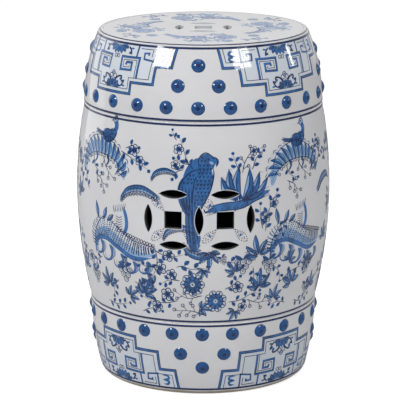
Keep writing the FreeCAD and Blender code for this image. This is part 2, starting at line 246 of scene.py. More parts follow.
def mirrored(points):
    return [(-x, y) for x, y in points]


def placing(x=0.0, y=0.0, turn=0.0, size=1.0, flip=False):
    """Where a motif goes on the flat pattern: shifted, turned in degrees, scaled and mirrored."""
    mirror = Matrix.Scale(-1, 3, Vector((1, 0, 0))).to_4x4() if flip else Matrix.Identity(4)
    turned = Matrix.Rotation(math.radians(turn), 4, "Z")
    return Matrix.Translation((x, y, 0)) @ turned @ Matrix.Diagonal((size, size, 1, 1)) @ mirror


# Coin openings on the flat pattern of the belly's front and back
COIN_LEVEL, COIN_SPACING = 240.5, 66.8
SQUARE_SIDE, PETAL_LENGTH, PETAL_WIDTH = 22.5, 37.5, 11.2
SEAT_COIN_REACH = 31.5
RIM = 0.9
BELLY_SQUARES = [(side * COIN_SPACING / 2, COIN_LEVEL) for side in (-1, 1)]
BELLY_PETALS = [
    (side * COIN_SPACING / 2, COIN_LEVEL + end * COIN_SPACING / 2, False) for side in (-1, 1) for end in (-1, 1)
] + [(side * COIN_SPACING, COIN_LEVEL, True) for side in (-1, 0, 1)]
SEAT_PETALS = [(0, -SEAT_COIN_REACH, False), (0, SEAT_COIN_REACH, False), (-SEAT_COIN_REACH, 0, True),
               (SEAT_COIN_REACH, 0, True)]


def petal_half(along):
    """Half the width of a petal opening and its glazed rim, at a distance from the petal's middle."""
    if abs(along) >= PETAL_LENGTH / 2:
        return 0.0
    arc = (PETAL_LENGTH**2 + PETAL_WIDTH**2) / (4 * PETAL_WIDTH)
    return math.sqrt(arc**2 - along**2) - (arc - PETAL_WIDTH / 2) + RIM


def pushed_clear(x, y, squares, petals):
    """Moves a point of the flat pattern out of the opening that it lies in, if any, to the rim."""
    half = SQUARE_SIDE / 2 + RIM
    for middle_x, middle_y in squares:
        across, up = x - middle_x, y - middle_y
        if abs(across) < half and abs(up) < half:
            if abs(across) > abs(up):
                return middle_x + math.copysign(half, across), y, True
            return x, middle_y + math.copysign(half, up), True
    for middle_x, middle_y, upright in petals:
        across, up = x - middle_x, y - middle_y
        aside, along = (across, up) if upright else (up, across)
        if abs(aside) < petal_half(along):
            edge = math.copysign(petal_half(along), aside)
            return (middle_x + edge, y, True) if upright else (x, middle_y + edge, True)
    return x, y, False


class Pattern:
    """Brush marks laid out flat in millimetres, then given body and wrapped on the stool."""

    def __init__(self, name):
        self.name = name
        self.mesh = bmesh.new()
        self.place = Matrix.Identity(4)
        self.size = 1.0
        self.numbers = itertools.count(1)

    def at(self, x=0.0, y=0.0, turn=0.0, size=1.0, flip=False):
        """A pen that draws into this pattern at another place."""
        pen = copy.copy(self)
        pen.place = self.place @ placing(x, y, turn, size, flip)
        pen.size = self.size * size
        return pen

    def next_lift(self, coat):
        return COATS[coat] + next(self.numbers) % FINE_STEPS * FINE_STEP

    def flat(self, point):
        return (self.place @ Vector((point[0], point[1], 0))).to_2d()

    def mark(self, coat, points, width, shape=leaf, cornered=False, step=3.0):
        """One stroke of the brush along a line of points, its width following the brush's shape."""
        places = [self.flat(point) for point in points]
        line = straight_line(places, step) if cornered else smooth_line(places, step)
        offsets = side_offsets(line)
        width *= self.size
        rows = len(line) - 1
        grid = bmesh.ops.create_grid(
            self.mesh, x_segments=rows, y_segments=max(1, math.ceil(width / 4)), size=0.5
        )["verts"]
        lift = self.next_lift(coat)
        for vert in grid:
            along = vert.co.x + 0.5
            row = round(along * rows)
            spot = line[row] + offsets[row] * (vert.co.y * width * shape(along))
            vert.co = (spot.x, spot.y, lift)
        self.colour(grid, coat)

    def dot(self, coat, centre, radius, sides=10):
        place = self.flat(centre)
        at = Matrix.Translation((place.x, place.y, self.next_lift(coat)))
        disc = bmesh.ops.create_circle(
            self.mesh, cap_ends=True, cap_tris=True, segments=sides, radius=radius * self.size, matrix=at
        )["verts"]
        self.colour(disc, coat)

    def outline(self, points, width):
        """A dark line that thins only at its ends."""
        self.mark("line", points, width, soft)

    def bar(self, coat, points, width):
        """A stroke of even width with sharp corners."""
        self.mark(coat, points, width, even, cornered=True)

    def ring(self, coat, centre, radius, width, sides=12):
        points = [Vector(centre) + spoke(360 * side / sides) * radius for side in range(sides + 1)]
        self.mark(coat, points, width, even, cornered=True, step=50)

    def colour(self, verts, coat):
        for face in {face for vert in verts for face in vert.link_faces}:
            face.material_index = COAT_NAMES.index(coat)

    def keep_clear(self, squares, petals):
        """Trims the marks to the rims of the openings."""
        for vert in self.mesh.verts:
            vert.co.x, vert.co.y, _ = pushed_clear(vert.co.x, vert.co.y, squares, petals)
        lost = []
        for face in self.mesh.faces:
            middle = face.calc_center_median()
            if pushed_clear(middle.x, middle.y, squares, petals)[2] or face.calc_area() < TINY_AREA:
                lost.append(face)
        bmesh.ops.delete(self.mesh, geom=lost, context="FACES")

    def finish(self, wrap, paints=WALL_PAINTS):
        """Gives the flat marks their thickness, wraps them on the stool and makes the piece."""
        bmesh.ops.remove_doubles(self.mesh, verts=self.mesh.verts, dist=FINE_STEP / 4)
        self.mesh.normal_update()
        bmesh.ops.reverse_faces(self.mesh, faces=[face for face in self.mesh.faces if face.normal.z < 0])
        under = self.mesh.faces[:]
        body = bmesh.ops.extrude_face_region(self.mesh, geom=under, use_keep_orig=True)["geom"]
        bmesh.ops.reverse_faces(self.mesh, faces=under)
        painted = {vert for vert in body if isinstance(vert, bmesh.types.BMVert)}
        for vert in self.mesh.verts:
            vert.co = wrap(vert.co.x, vert.co.y, vert.co.z if vert in painted else -SINK)
        if self.mesh.calc_volume(signed=True) < 0:
            bmesh.ops.reverse_faces(self.mesh, faces=self.mesh.faces[:])
        self.mesh.normal_update()
        for edge in self.mesh.edges:
            edge.smooth = not edge.is_manifold or edge.calc_face_angle(0) < 0.6
        make_piece(self.name, self.mesh, paints)


def on_band(turn, start, stretch):
    """Wraps a flat pattern round a band, its x from a turn and its y, stretched, from a height."""

    def wrap(x, y, lift):
        height = start + stretch * y
        return wall_place(turn + math.degrees(x / wall_radius(height)), height, lift)

    return wrap


def on_belly(turn):
    """Wraps a flat pattern round the belly as on a plain drum of its widest radius."""
    return lambda x, y, lift: wall_place(turn + math.degrees(x / BELLY_RADIUS), y, lift)


def on_seat(x, y, lift):
    return Vector((x, y, TOP - COAT_ROOM + lift)) * MM


# Pieces


def make_piece(name, mesh, finishes):
    """Turns a bmesh in metres into a piece of the stool, with its finishes by name."""
    data = bpy.data.meshes.new(name)
    mesh.to_mesh(data)
    mesh.free()
    for finish in finishes:
        data.materials.append(material(finish))
    for face in data.polygons:
        face.use_smooth = True
    piece = bpy.data.objects.new(name, data)
    bpy.context.scene.collection.objects.link(piece)
    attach(piece, "root")
    return piece


# Glazes


def feed(spot, value):
    """Sets an input of a node, or links it where the value is another node's output."""
    if isinstance(value, bpy.types.NodeSocket):
        spot.id_data.links.new(value, spot)
    else:
        spot.default_value = value


def fill(node, **values):
    """Feeds a node's inputs by name, with _ for a space."""
    for name, value in values.items():
        feed(node.inputs[name.replace("_", " ")], value)


def add_node(tree, kind, **values):
    node = tree.nodes.new(f"ShaderNode{kind}")
    fill(node, **values)
    return node


def computed(tree, operation, *values):
    """A number worked out from others."""
    node = tree.nodes.new("ShaderNodeMath")
    node.operation = operation
    for spot, value in zip(node.inputs, values):
        feed(spot, value)
    return node.outputs["Value"]


def object_place(tree):
    return tree.nodes.new("ShaderNodeTexCoord").outputs["Object"]


def noise(tree, where, scale, detail, rough=0.5):
    return add_node(tree, "TexNoise", Vector=where, Scale=scale, Detail=detail, Roughness=rough).outputs["Fac"]


def ranged(tree, value, low, high, to_low, to_high):
    """A value from one range laid out over another."""
    return add_node(
        tree, "MapRange", Value=value, From_Min=low, From_Max=high, To_Min=to_low, To_Max=to_high
    ).outputs["Result"]


def blended(tree, factor, first, second):
    """A colour that goes from the first to the second as the factor goes from 0 to 1."""
    node = tree.nodes.new("ShaderNodeMix")
    node.data_type = "RGBA"
    spots = {spot.identifier: spot for spot in (*node.inputs, *node.outputs)}
    for spot, value in (("Factor_Float", factor), ("A_Color", first), ("B_Color", second)):
        feed(spots[spot], value)
    return spots["Result_Color"]


def shader(name, gloss):
    """A new material, its node tree and its Principled shader."""
    finish = bpy.data.materials.new(name)
    finish.use_nodes = True
    principled = finish.node_tree.nodes["Principled BSDF"]
    fill(principled, Roughness=gloss, IOR=1.52)
    return finish, finish.node_tree, principled


def fired_glaze_group():
    """Colour drift and the soft ripple of a poured and fired glaze."""
    group = bpy.data.node_groups.get("fired glaze")
    if group:
        return group
    group = bpy.data.node_groups.new("fired glaze", "ShaderNodeTree")
    for name, kind, default in (
        ("Thin", "Color", (0.6, 0.6, 0.6, 1)),
        ("Thick", "Color", (0.7, 0.7, 0.7, 1)),
        ("Drift Size", "Float", 9.0),
        ("Ripple Size", "Float", 45.0),
    ):
        group.interface.new_socket(name=name, in_out="INPUT", socket_type=f"NodeSocket{kind}").default_value = default
    for name, kind in (("Colour", "Color"), ("Ripple", "Float")):
        group.interface.new_socket(name=name, in_out="OUTPUT", socket_type=f"NodeSocket{kind}")
    given = group.nodes.new("NodeGroupInput").outputs
    where = object_place(group)
    drift = ranged(group, noise(group, where, given["Drift Size"], 3.0, 0.6), 0.35, 0.65, 0.0, 1.0)
    fill(
        group.nodes.new("NodeGroupOutput"),
        Colour=blended(group, drift, given["Thin"], given["Thick"]),
        Ripple=noise(group, where, given["Ripple Size"], 2.0),
    )
    return group


def glaze(name, thin, thick, gloss=0.07, drift=9.0, ripple=45.0, swell=0.0006):
    """A fired glaze: its thin and thick colours, gloss, and the size and depth of its ripple."""
    finish, tree, principled = shader(name, gloss)
    kiln = tree.nodes.new("ShaderNodeGroup")
    kiln.node_tree = fired_glaze_group()
    fill(kiln, Thin=(*thin, 1), Thick=(*thick, 1), Drift_Size=drift, Ripple_Size=ripple)
    bump = add_node(tree, "Bump", Distance=swell, Strength=0.35, Height=kiln.outputs["Ripple"])
    fill(principled, Base_Color=kiln.outputs["Colour"], Normal=bump.outputs["Normal"])
    return finish, tree, principled, kiln.outputs["Colour"]


def white_glaze(name):
    """The pale glaze of the walls, a little thinner and greyer in places."""
    white = finish_settings().glaze_white
    return glaze(name, [part * 0.93 for part in white], white)


def foot_glaze(name):
    """The white glaze of the lower band, wiped off the clay along the foot."""
    finish, tree, principled, glazed = white_glaze(name)
    where = object_place(tree)
    height = add_node(tree, "SeparateXYZ", Vector=where).outputs["Z"]
    wander = ranged(tree, noise(tree, where, 22.0, 3.0), 0.3, 0.7, -0.0012, 0.0012)
    wiped = ranged(tree, computed(tree, "ADD", height, wander), 0.0046, 0.0060, 0.0, 1.0)
    clay = finish_settings().foot_clay
    grain = blended(tree, noise(tree, where, 140.0, 4.0), (*[part * 0.68 for part in clay], 1), (*clay, 1))
    fill(
        principled,
        Base_Color=blended(tree, wiped, grain, glazed),
        Roughness=ranged(tree, wiped, 0.0, 1.0, 0.8, 0.07),
    )
    return finish


def painted_glaze(name, colour, thinning, gloss=0.07, drift=60.0):
    """A painted colour under the glaze, brighter by a share where the brush ran thin."""
    if isinstance(colour, str):
        colour = getattr(finish_settings(), colour)
    return glaze(name, [part * (1 + thinning) for part in colour], colour, gloss, drift)[0]


def raw_clay_painted_shade_finish(name):
    """The inside of the drum: raw clay, its colour darkened almost to black as painted shade for the closed drum's
    dark inside.
    """
    finish, tree, principled = shader(name, 0.85)
    grain = noise(tree, object_place(tree), 60.0, 4.0)
    # Near-black colours: painted shade for the inside of the drum, where little light gets in
    fill(principled, Base_Color=blended(tree, grain, (0.045, 0.042, 0.04, 1), (0.08, 0.075, 0.07, 1)))
    return finish


# Painted colours: each with its own colour or the setting that holds it, and how it thins, shines and drifts
PAINTS = {
    "painted_reserve": ((0.575, 0.615, 0.67), 0.06, 0.07, 9.0),
    "painted_pale_wash": ("pale_cobalt", 0.35),
    "painted_cobalt": ("cobalt", 0.8),
    "painted_line": ("brush_line", 0.8),
    "worn_seat_wash": ((0.24, 0.35, 0.54), 0.3),
    "worn_seat_line": ((0.06, 0.13, 0.29), 0.6),
    "stud_cobalt": ("stud_blue", 0.5, 0.05, 120.0),
}


def material(name):
    """The finish of that name, made when it is first asked for."""
    made = bpy.data.materials.get(name)
    if made:
        return made
    if name in PAINTS:
        return painted_glaze(name, *PAINTS[name])
    # The near-black raw clay of the inside is painted shade
    if name == "dry_inner_clay":
        return raw_clay_painted_shade_finish(name)
    return foot_glaze(name) if name == "foot_wiped_glaze" else white_glaze(name)[0]


# Shells


def merged_copy(node):
    """The CAD shell's surface with its loose triangles joined."""
    mesh = bmesh.new()
    mesh.from_mesh(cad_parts[node].data)
    bmesh.ops.remove_doubles(mesh, verts=mesh.verts, dist=0.000002)
    return mesh


def make_skin(name, mesh, node, raw_in_painted_shade):
    """A drawn-in shell with smooth walls, crisp edges and raw clay where no glaze was poured, that clay coloured
    near-black as painted shade.
    """
    for edge in mesh.edges:
        edge.smooth = not edge.is_manifold or edge.calc_face_angle(0) < 0.5
    for face in mesh.faces:
        # Faces inside the stool take the near-black clay: painted shade
        face.material_index = 1 if raw_in_painted_shade(face) else 0
    skin = make_piece(name, mesh, ("white_glaze_fired", "dry_inner_clay"))
    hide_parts(node)


def facing_out(face):
    """How far a face looks away from the stool's axis, from -1 to 1."""
    middle = face.calc_center_median()
    return Vector((middle.x, middle.y, 0)).normalized().dot(face.normal)


def glaze_belly():
    """The belly's painted side drawn in, its inside and the openings' walls left raw, in near-black clay as painted
    shade.
    """
    belly = merged_copy("belly_wall")
    for vert in belly.verts:
        radius, height = math.hypot(vert.co.x, vert.co.y) / MM, vert.co.z / MM
        if abs(math.hypot(radius - BELLY_SIDE.across, height - BELLY_SIDE.level) - BELLY_SIDE.rib) < 0.15:
            turn = math.degrees(math.atan2(vert.co.x, -vert.co.y))
            vert.co = wall_place(turn, min(max(height, SEAM_LOW + 0.01), SEAM_HIGH - 0.01))
    make_skin("belly_skin", belly, "belly_wall", lambda face: facing_out(face) < 0.5)


def glaze_seat():
    """The seat's flat top lowered, and its underside left raw, in near-black clay as painted shade."""
    seat = merged_copy("seat_slab")
    for vert in seat.verts:
        if vert.co.z > (TOP - 0.01) * MM:
            vert.co.z = (TOP - COAT_ROOM) * MM
    make_skin("seat_skin", seat, "seat_slab", lambda face: face.normal.z < -0.5)


# Motifs, each drawn round its own origin in millimetres


def leaf_mark(pen, base, tip, width, bend=0.0):
    """A painted leaf: a pale wash with a darker half, a midrib and an outline."""
    base, tip = Vector(base), Vector(tip)
    middle = (base + tip) / 2 + (tip - base).orthogonal() * bend
    edge = (tip - base).orthogonal().normalized() * width * 0.46
    pen.mark("pale", [base, middle, tip], width, leaf)
    pen.mark("wash", [base, middle - edge * 0.42, tip], width * 0.62, leaf)
    pen.mark("line", [base, middle, tip], max(0.8, width * 0.12), flick)
    for side in (1, -1):
        pen.outline([base, middle + edge * side, tip], 0.75)


def full_leaf(pen, base, tip, width, bend=0.0):
    """A small leaf in one loaded stroke."""
    base, tip = Vector(base), Vector(tip)
    middle = (base + tip) / 2 + (tip - base).orthogonal() * bend
    pen.mark("wash", [base, middle, tip], width, leaf)
    pen.mark("line", [base, middle, tip], width * 0.3, leaf)


def curl(pen, coat, start, size, heading, width, turns):
    """A curling stroke that winds in to the right from its start, heading in degrees."""
    points, steps = [Vector(start)], 9
    for step in range(steps):
        reach = size * (1 - 0.75 * step / steps) * 0.42
        points.append(points[-1] + spoke(heading - 360 * turns * step / steps) * reach)
    pen.mark(coat, points, width, flick, step=2.0)


def blossom(pen, radius=5.6, petals=5):
    """An open flower: outlined petals round a cobalt eye."""
    for petal in range(petals):
        spot = spoke(360 * petal / petals) * radius * 0.64
        pen.dot("reserve", spot, radius * 0.46)
        pen.ring("line", spot, radius * 0.44, 0.8, 10)
        pen.mark("wash", [spot * 0.4, spot * 1.25], radius * 0.34, flick)
    pen.dot("wash", (0, 0), radius * 0.48)
    pen.dot("line", (0, 0), radius * 0.24, 6)


def rosette(pen, radius=16.0, petals=8, ticks=14):
    """A full flower head: scalloped petals, a broad cobalt ring and a pale eye."""
    for petal in range(petals):
        out = spoke(360 * petal / petals) * radius
        pen.dot("reserve", out * 0.68, radius * 0.33, 12)
        pen.ring("line", out * 0.68, radius * 0.32, 0.9)
        pen.mark("wash", [out * 0.6, out * 0.98], radius * 0.3, flick)
    pen.dot("reserve", (0, 0), radius * 0.70, 24)
    pen.ring("wash", (0, 0), radius * 0.45, radius * 0.46, 24)
    pen.ring("line", (0, 0), radius * 0.68, 1.0, 24)
    pen.ring("line", (0, 0), radius * 0.22, 0.9, 24)
    for tick in range(ticks):
        out = spoke(360 * tick / ticks) * radius
        pen.mark("line", [out * 0.32, out * 0.58], 0.9, flick)
    pen.dot("wash", (0, 0), radius * 0.10, 8)


def sprig(pen, stem, leaves=5, size=9.0, buds=False):
    """A twig along a line with leaves or buds to both sides and one at its tip."""
    pen.mark("line", stem, 1.2, flick)
    line = smooth_line([Vector(point) for point in stem], 2.0)
    for number in range(leaves):
        place = min(len(line) - 1, max(1, int((number + 0.8) / leaves * (len(line) - 1))))
        along = (line[place] - line[place - 1]).normalized()
        aside = along.orthogonal() * (1 if number % 2 else -1)
        if number == leaves - 1:
            aside *= 0.2
        tip = line[place] + (along * 0.6 + aside * 0.8) * size
        if buds:
            pen.mark("line", [line[place], (line[place] + tip) / 2, tip], 0.7, even)
            pen.dot("reserve", tip, size * 0.24)
            pen.ring("line", tip, size * 0.24, 0.85, 8)
        else:
            full_leaf(pen, line[place] + (tip - line[place]) * 0.15, tip, size * 0.55, 0.1)


def star_leaves(pen, length=26.0, width=7.2, count=5, spread=200):
    """Pointed leaves from one joint, the middle one longest, each with a stippled edge."""
    for number in range(count):
        from_middle = number - (count - 1) / 2
        reach = length * (1 - 0.18 * abs(from_middle))
        out = spoke(90 + from_middle * spread / count)
        leaf_mark(pen, out * 1.5, out * reach, width * (1 - 0.08 * abs(from_middle)), 0.06)
        for share in (0.3, 0.45, 0.6, 0.75, 0.9):
            pen.dot("line", out * reach * share + out.orthogonal() * width * 0.62 * leaf(share), 0.65, 6)


def plume(pen, length=60.0, rise=18.0, width=9.0):
    """A long curled feather leaf with a row of curls hanging under it."""
    spine = [(0, 0), (length * 0.22, rise * 0.8), (length * 0.6, rise), (length, rise * 0.35)]
    pen.mark("pale", spine, width, leaf)
    pen.mark("wash", moved(spine, up=width * 0.2), width * 0.7, leaf)
    pen.outline(moved(spine, up=width * 0.42), 1.1)
    pen.outline(moved(spine, up=-width * 0.40), 0.8)
    for spot, _, share in spots_along(spine, round(length / 4.6), 0.04, 0.96):
        under = spot - Vector((0, width * 0.5 * leaf(share) + 2.4))
        pen.ring("line", under, 2.0, 0.85, 8)
        pen.dot("wash", under, 0.9, 6)
        pen.outline([spot + Vector((1, width * 0.3)), spot - Vector((0.5, width * 0.36))], 0.9)


def berry_cone(pen, rows=3, size=6.6):
    """A fruit cone of outlined berries that narrows away from its stalk."""
    for row in range(rows):
        for place in range(rows - row):
            spot = ((place - (rows - row - 1) / 2) * size * 1.2, -row * size * 0.95)
            pen.dot("reserve", spot, size * 0.58)
            pen.ring("line", spot, size * 0.58, 0.85, 10)
            pen.ring("line", (spot[0] + 0.4, spot[1] + 0.5), size * 0.24, 0.6, 6)
    for side in (-1, 1):
        full_leaf(pen, (0, size * 0.5), (side * size * 1.7, size * 1.5), size * 0.9, 0.1)


def plumage(pen, rows, spacing=4.7):
    """Rows of overlapping feather marks; each row is (height, left, right)."""
    for number, (height, left, right) in enumerate(rows):
        count = max(1, round((right - left) / spacing))
        for place in range(count):
            x = left + (place + (0.75 if number % 2 else 0.3)) * (right - left) / count
            scale = [(x - 1.6, height + 1.6), (x - 0.3, height - 1.5), (x + 1.5, height + 1.8)]
            pen.mark("line", scale, 1.1, soft, step=2)
            pen.mark("pale", [(x + 0.2, height + 2.6), (x - 0.2, height + 0.2)], 1.5, leaf, step=2)


def perched_bird(pen):
    """A long-tailed bird seen from the side, its feet at the origin and its tail hanging down."""
    for x, end, width in ((-10, -60, 9), (-5, -67, 9), (0.5, -57, 8)):
        feather = [(x * 0.5 - 6, 8), (x * 0.85 - 5, -22), (x - 1, end)]
        pen.mark("wash", feather, width, soft)
        pen.outline(feather, 1.1)
        pen.outline(moved(feather, -width * 0.44), 1.0)
        pen.mark("pale", moved(feather, width * 0.25, -2), 1.1, leaf)
    pen.mark("wash", [(11, 55), (3, 45), (-3, 25), (-8, 2), (-9, -16)], 40, plump)
    pen.mark("wash", [(-2, 44), (-17, 27), (-18, 6), (-11, -22)], 19, leaf)
    for shift in (0, 4.5, 9, 13):
        quill = [(-22 + shift, 24 - shift * 0.2), (-20 + shift * 0.8, 4), (-13 + shift * 0.4, -20 + shift * 0.5)]
        pen.outline(quill, 1.3)
        pen.mark("pale", moved(quill, 2.3, -1), 1.1, leaf)
    pen.outline([(3, 47), (-13, 40), (-26, 22), (-22, 2), (-13, -18)], 1.6)
    pen.outline([(18, 50), (19, 36), (14, 16), (4, -4), (-3, -18)], 1.4)
    pen.outline([(0, 40), (-6, 30), (-8, 14), (-9, -4)], 1.2)
    pen.dot("wash", (9.5, 54), 11.5, 20)
    pen.outline([(-1, 48), (0, 60), (8, 66.5), (17, 62), (20, 55)], 1.3)
    pen.mark("wash", [(17, 60), (23, 57), (22.5, 50)], 5.5, drop)
    pen.outline([(16, 61.5), (23, 59), (24.5, 53), (22, 48)], 1.7)
    pen.mark("pale", [(13, 55), (19.5, 52)], 4.0, leaf)
    pen.dot("reserve", (12, 58), 2.6, 10)
    pen.dot("line", (12.2, 58), 1.4, 8)
    plumage(pen, [(61, 2, 9), (56.5, 0, 9), (51, 0, 15), (46, -2, 17), (41, -1, 18), (36, -3, 18), (31, -4, 17),
                  (26, -5, 17), (21, -5, 15), (16, -5, 14), (11, -6, 12), (6, -6, 10), (1, -7, 7), (-4, -7, 4)])
    plumage(pen, [(38, -13, -4), (33, -17, -5), (28, -21, -6)])
    for side in (0, 1):
        pen.mark("line", [(-1 + side * 7, -6), (1 + side * 7, -11), (6 + side * 7, -11)], 2.2, flick)


def small_bird(pen):
    """A little crested bird on the watch, its feet at the origin."""
    pen.mark("wash", [(-34, 11), (-20, 8), (-8, 8)], 8, flick_in)
    for rise in (1.8, 0, -1.8):
        pen.outline([(-33, 11 + rise), (-20, 8 + rise), (-12, 8)], 0.9)
    pen.mark("wash", [(-17, 9), (-5, 6), (6, 11), (10, 19)], 17, plump)
    pen.outline([(-16, 13), (-5, 15), (3, 11), (-3, 7), (-12, 8)], 1.2)
    pen.outline([(-14, 5), (-4, -1), (7, 4), (12, 14)], 1.2)
    pen.outline([(-9, 11), (-2, 9)], 1.0)
    pen.mark("wash", [(6, 12), (10, 19), (8, 27)], 7, soft)
    pen.dot("pale", (7, 28), 4.4, 12)
    pen.ring("line", (7, 28), 4.4, 0.9, 12)
    pen.dot("line", (6, 28.8), 1.2, 6)
    pen.mark("line", [(3, 28), (-1.5, 26)], 1.9, flick)
    for tick in range(3):
        pen.mark("line", [(7 + tick, 31.5), (6 + tick * 2.5, 36)], 0.8, flick)
    plumage(pen, [(15, 0, 10), (10, -2, 10), (5, -8, 7), (1.5, -6, 4)], 3.6)


def leafy_mound(pen):
    """A bank of curling leaves that a bird sits on, its crest at the origin."""
    spine = [(-50, -44), (-40, -20), (-20, -8), (4, -7), (26, -14), (40, -28), (44, -44)]
    pen.mark("reserve", spine, 28, plump)
    pen.mark("pale", moved(spine, up=-4), 17, plump)
    for edge in (-1, 1):
        pen.outline([(x, y + edge * 12 * plump(number / 6)) for number, (x, y) in enumerate(spine)], 1.0)
    for spot, along, share in spots_along(spine, 14, 0.03, 0.97):
        aside = along.orthogonal()
        reach = 4 + 9 * plump(share)
        root, tip = spot + aside * reach, spot - aside * reach + along * 5
        bend = spot + along * 6
        pen.mark("pale", [root, bend, tip], 7.5, leaf)
        pen.mark("wash", [root, bend - along * 1.6, tip], 4.2, leaf)
        pen.outline([root, bend + along * 2.6, tip], 0.85)
        pen.outline([root, bend - along * 3.4, tip], 0.85)
        pen.outline([root - along * 4.5, root + aside * 2.8, root + along * 4.5], 0.9)
        pen.ring("line", tip - aside * 1.6, 1.9, 0.8, 8)
    for x, level, turn in ((-16, -16, -150), (10, -18, 175), (30, -26, 160)):
        pen.mark("wash", [(x, level), (x + 3, level - 9), (x - 3, level - 17)], 3.4, flick)
        pen.outline([(x + 2, level), (x + 5, level - 9), (x - 2, level - 18)], 0.8)
    sprig(pen, [(2, -22), (10, -36), (24, -48)], 4, 9, buds=True)
    sprig(pen, [(-22, -24), (-16, -38), (-2, -46)], 4, 9)


def feather_scroll(pen):
    """A broad scroll of stippled plumage with a crest, curls under it and leaves on its back."""
    spine = [(-54, -28), (-47, -4), (-26, 4), (0, -8), (26, -18), (52, -16)]
    pen.mark("reserve", spine, 27, plump)
    pen.mark("pale", moved(spine, 1, -6), 13, plump)
    pen.mark("wash", [(-55, -34), (-49, -16), (-29, -10), (-4, -20), (20, -30), (46, -27)], 6.5, soft)
    pen.outline([(-55, -36), (-52, -8), (-36, 15), (-22, 17)], 1.2)
    pen.outline([(-22, 17), (-4, 7), (14, -4), (34, -9), (54, -13)], 1.0)
    for row, (spot, along, share) in enumerate(spots_along(spine, 34, 0.03, 0.97)):
        aside = along.orthogonal() * 25 * plump(share)
        for lane in range(8):
            coat = "line" if (row * 2 + lane) % 3 else "wash"
            pen.dot(coat, spot + aside * (0.12 * lane - 0.42 + 0.06 * (row % 2)), 1.1, 6)
        pen.mark("line", [spot + aside * 0.5, spot + aside * 0.60 + along * 2], 0.9, even)
    pen.mark("reserve", [(-10, 0), (1, 10), (2, 24), (-5, 36)], 17, flick_in)
    pen.mark("wash", [(4, -2), (10, 10), (10, 22), (6, 36)], 5, soft)
    for tick in range(7):
        pen.mark("line", [(-10 + tick * 2.7, 27 + tick * 0.6), (-12 + tick * 3.6, 36 + tick)], 1.2, flick)
        pen.outline([(-8, 23 - tick * 3.2), (-2, 21 - tick * 3.2), (4, 24 - tick * 3.2)], 0.8)
    for x, level, size in ((-40, -14, 16), (-22, -18, 18), (-2, -27, 16), (18, -34, 14), (38, -33, 13)):
        curl(pen, "wash", (x, level), size, -60, 5.0, 0.75)
        curl(pen, "line", (x + 3, level), size * 0.95, -55, 1.0, 0.75)
        curl(pen, "pale", (x + 6, level - 1), size * 0.6, -50, 3.0, 0.6)
    for number in range(11):
        x = 8 + number * 4.1
        pen.ring("line", (x, 1.5 - number * 1.15), 2.0, 0.85, 8)
    for x, turn, size in ((-42, 12, 24), (-32, -22, 20), (-24, -50, 16)):
        leaf_mark(pen.at(x, 13, turn), (0, 0), (0, size), 7)


def bough(pen):
    """A gnarled branch with broad upright leaves."""
    trunk = [(-50, -14), (-28, -8), (-4, -6), (14, 2), (36, 9)]
    pen.mark("wash", trunk, 11, soft)
    for spot, along, share in spots_along(trunk, 11):
        aside = along.orthogonal()
        pen.mark("pale", [spot - aside * 3 - along * 2, spot + aside * 2.5 + along * 2], 1.6, leaf)
        pen.outline([spot - aside * 4.5, spot + aside * 0.5 + along * 3], 1.0)
    for shift in (-5, 5):
        pen.outline(moved(trunk, up=shift), 1.1)
    for tip, width in (((-30, 30), 11), ((-20, 40), 11), ((-6, 44), 11), ((8, 40), 11), ((22, 34), 10),
                       ((34, 26), 9)):
        root = (-4 + tip[0] * 0.2, -2)
        leaf_mark(pen, root, tip, width, 0.10 if tip[0] < 0 else -0.10)
        pen.mark("line", [(tip[0] * 0.75, tip[1] * 0.75), tip, (tip[0] + 5, tip[1] - 2)], 1.2, flick)
    for tip in ((-24, 18), (14, 18), (28, 10)):
        full_leaf(pen, (0, -2), tip, 6, -0.1)


def coin_leaves(pen):
    """The stippled leaves that fill the corners between a coin's square and its petals."""
    for side_x in (-1, 1):
        for side_y in (-1, 1):
            for reach, spread in ((8.5, 5.4), (5.0, 2.6)):
                outline = [
                    (side_x * (20 + across), side_y * (20 + up))
                    for across, up in ((-reach, -reach), (-spread * 0.3, spread), (reach, reach),
                                       (spread, -spread * 0.3), (-reach, -reach))
                ]
                for spot, _, _ in spots_along(outline, 18 if reach > 6 else 9):
                    pen.dot("line", spot, 0.75, 6)
            pen.dot("wash", (side_x * 20, side_y * 20), 1.6, 8)


def opening_lips(pen, squares, petals):
    """The raised bead of glaze round each opening."""
    half = SQUARE_SIDE / 2 + RIM / 2
    for x, y in squares:
        corners = [(x - half, y - half), (x + half, y - half), (x + half, y + half), (x - half, y + half)]
        pen.bar("reserve", [*corners, corners[0]], RIM * 0.9)
    steps = [PETAL_LENGTH / 2 * math.sin(math.pi * step / 16) for step in range(-8, 9)]
    for x, y, upright in petals:
        for side in (-1, 1):
            edge = [(side * max(0.0, petal_half(along) - RIM / 2), along) for along in steps]
            pen.bar("reserve", [(x + a, y + b) if upright else (x + b, y + a) for a, b in edge], RIM * 0.9)


# The belly's picture: each motif's place on the flat pattern (x, height), then its turn, size, and True if
# it is mirrored, as far as they aren't plain

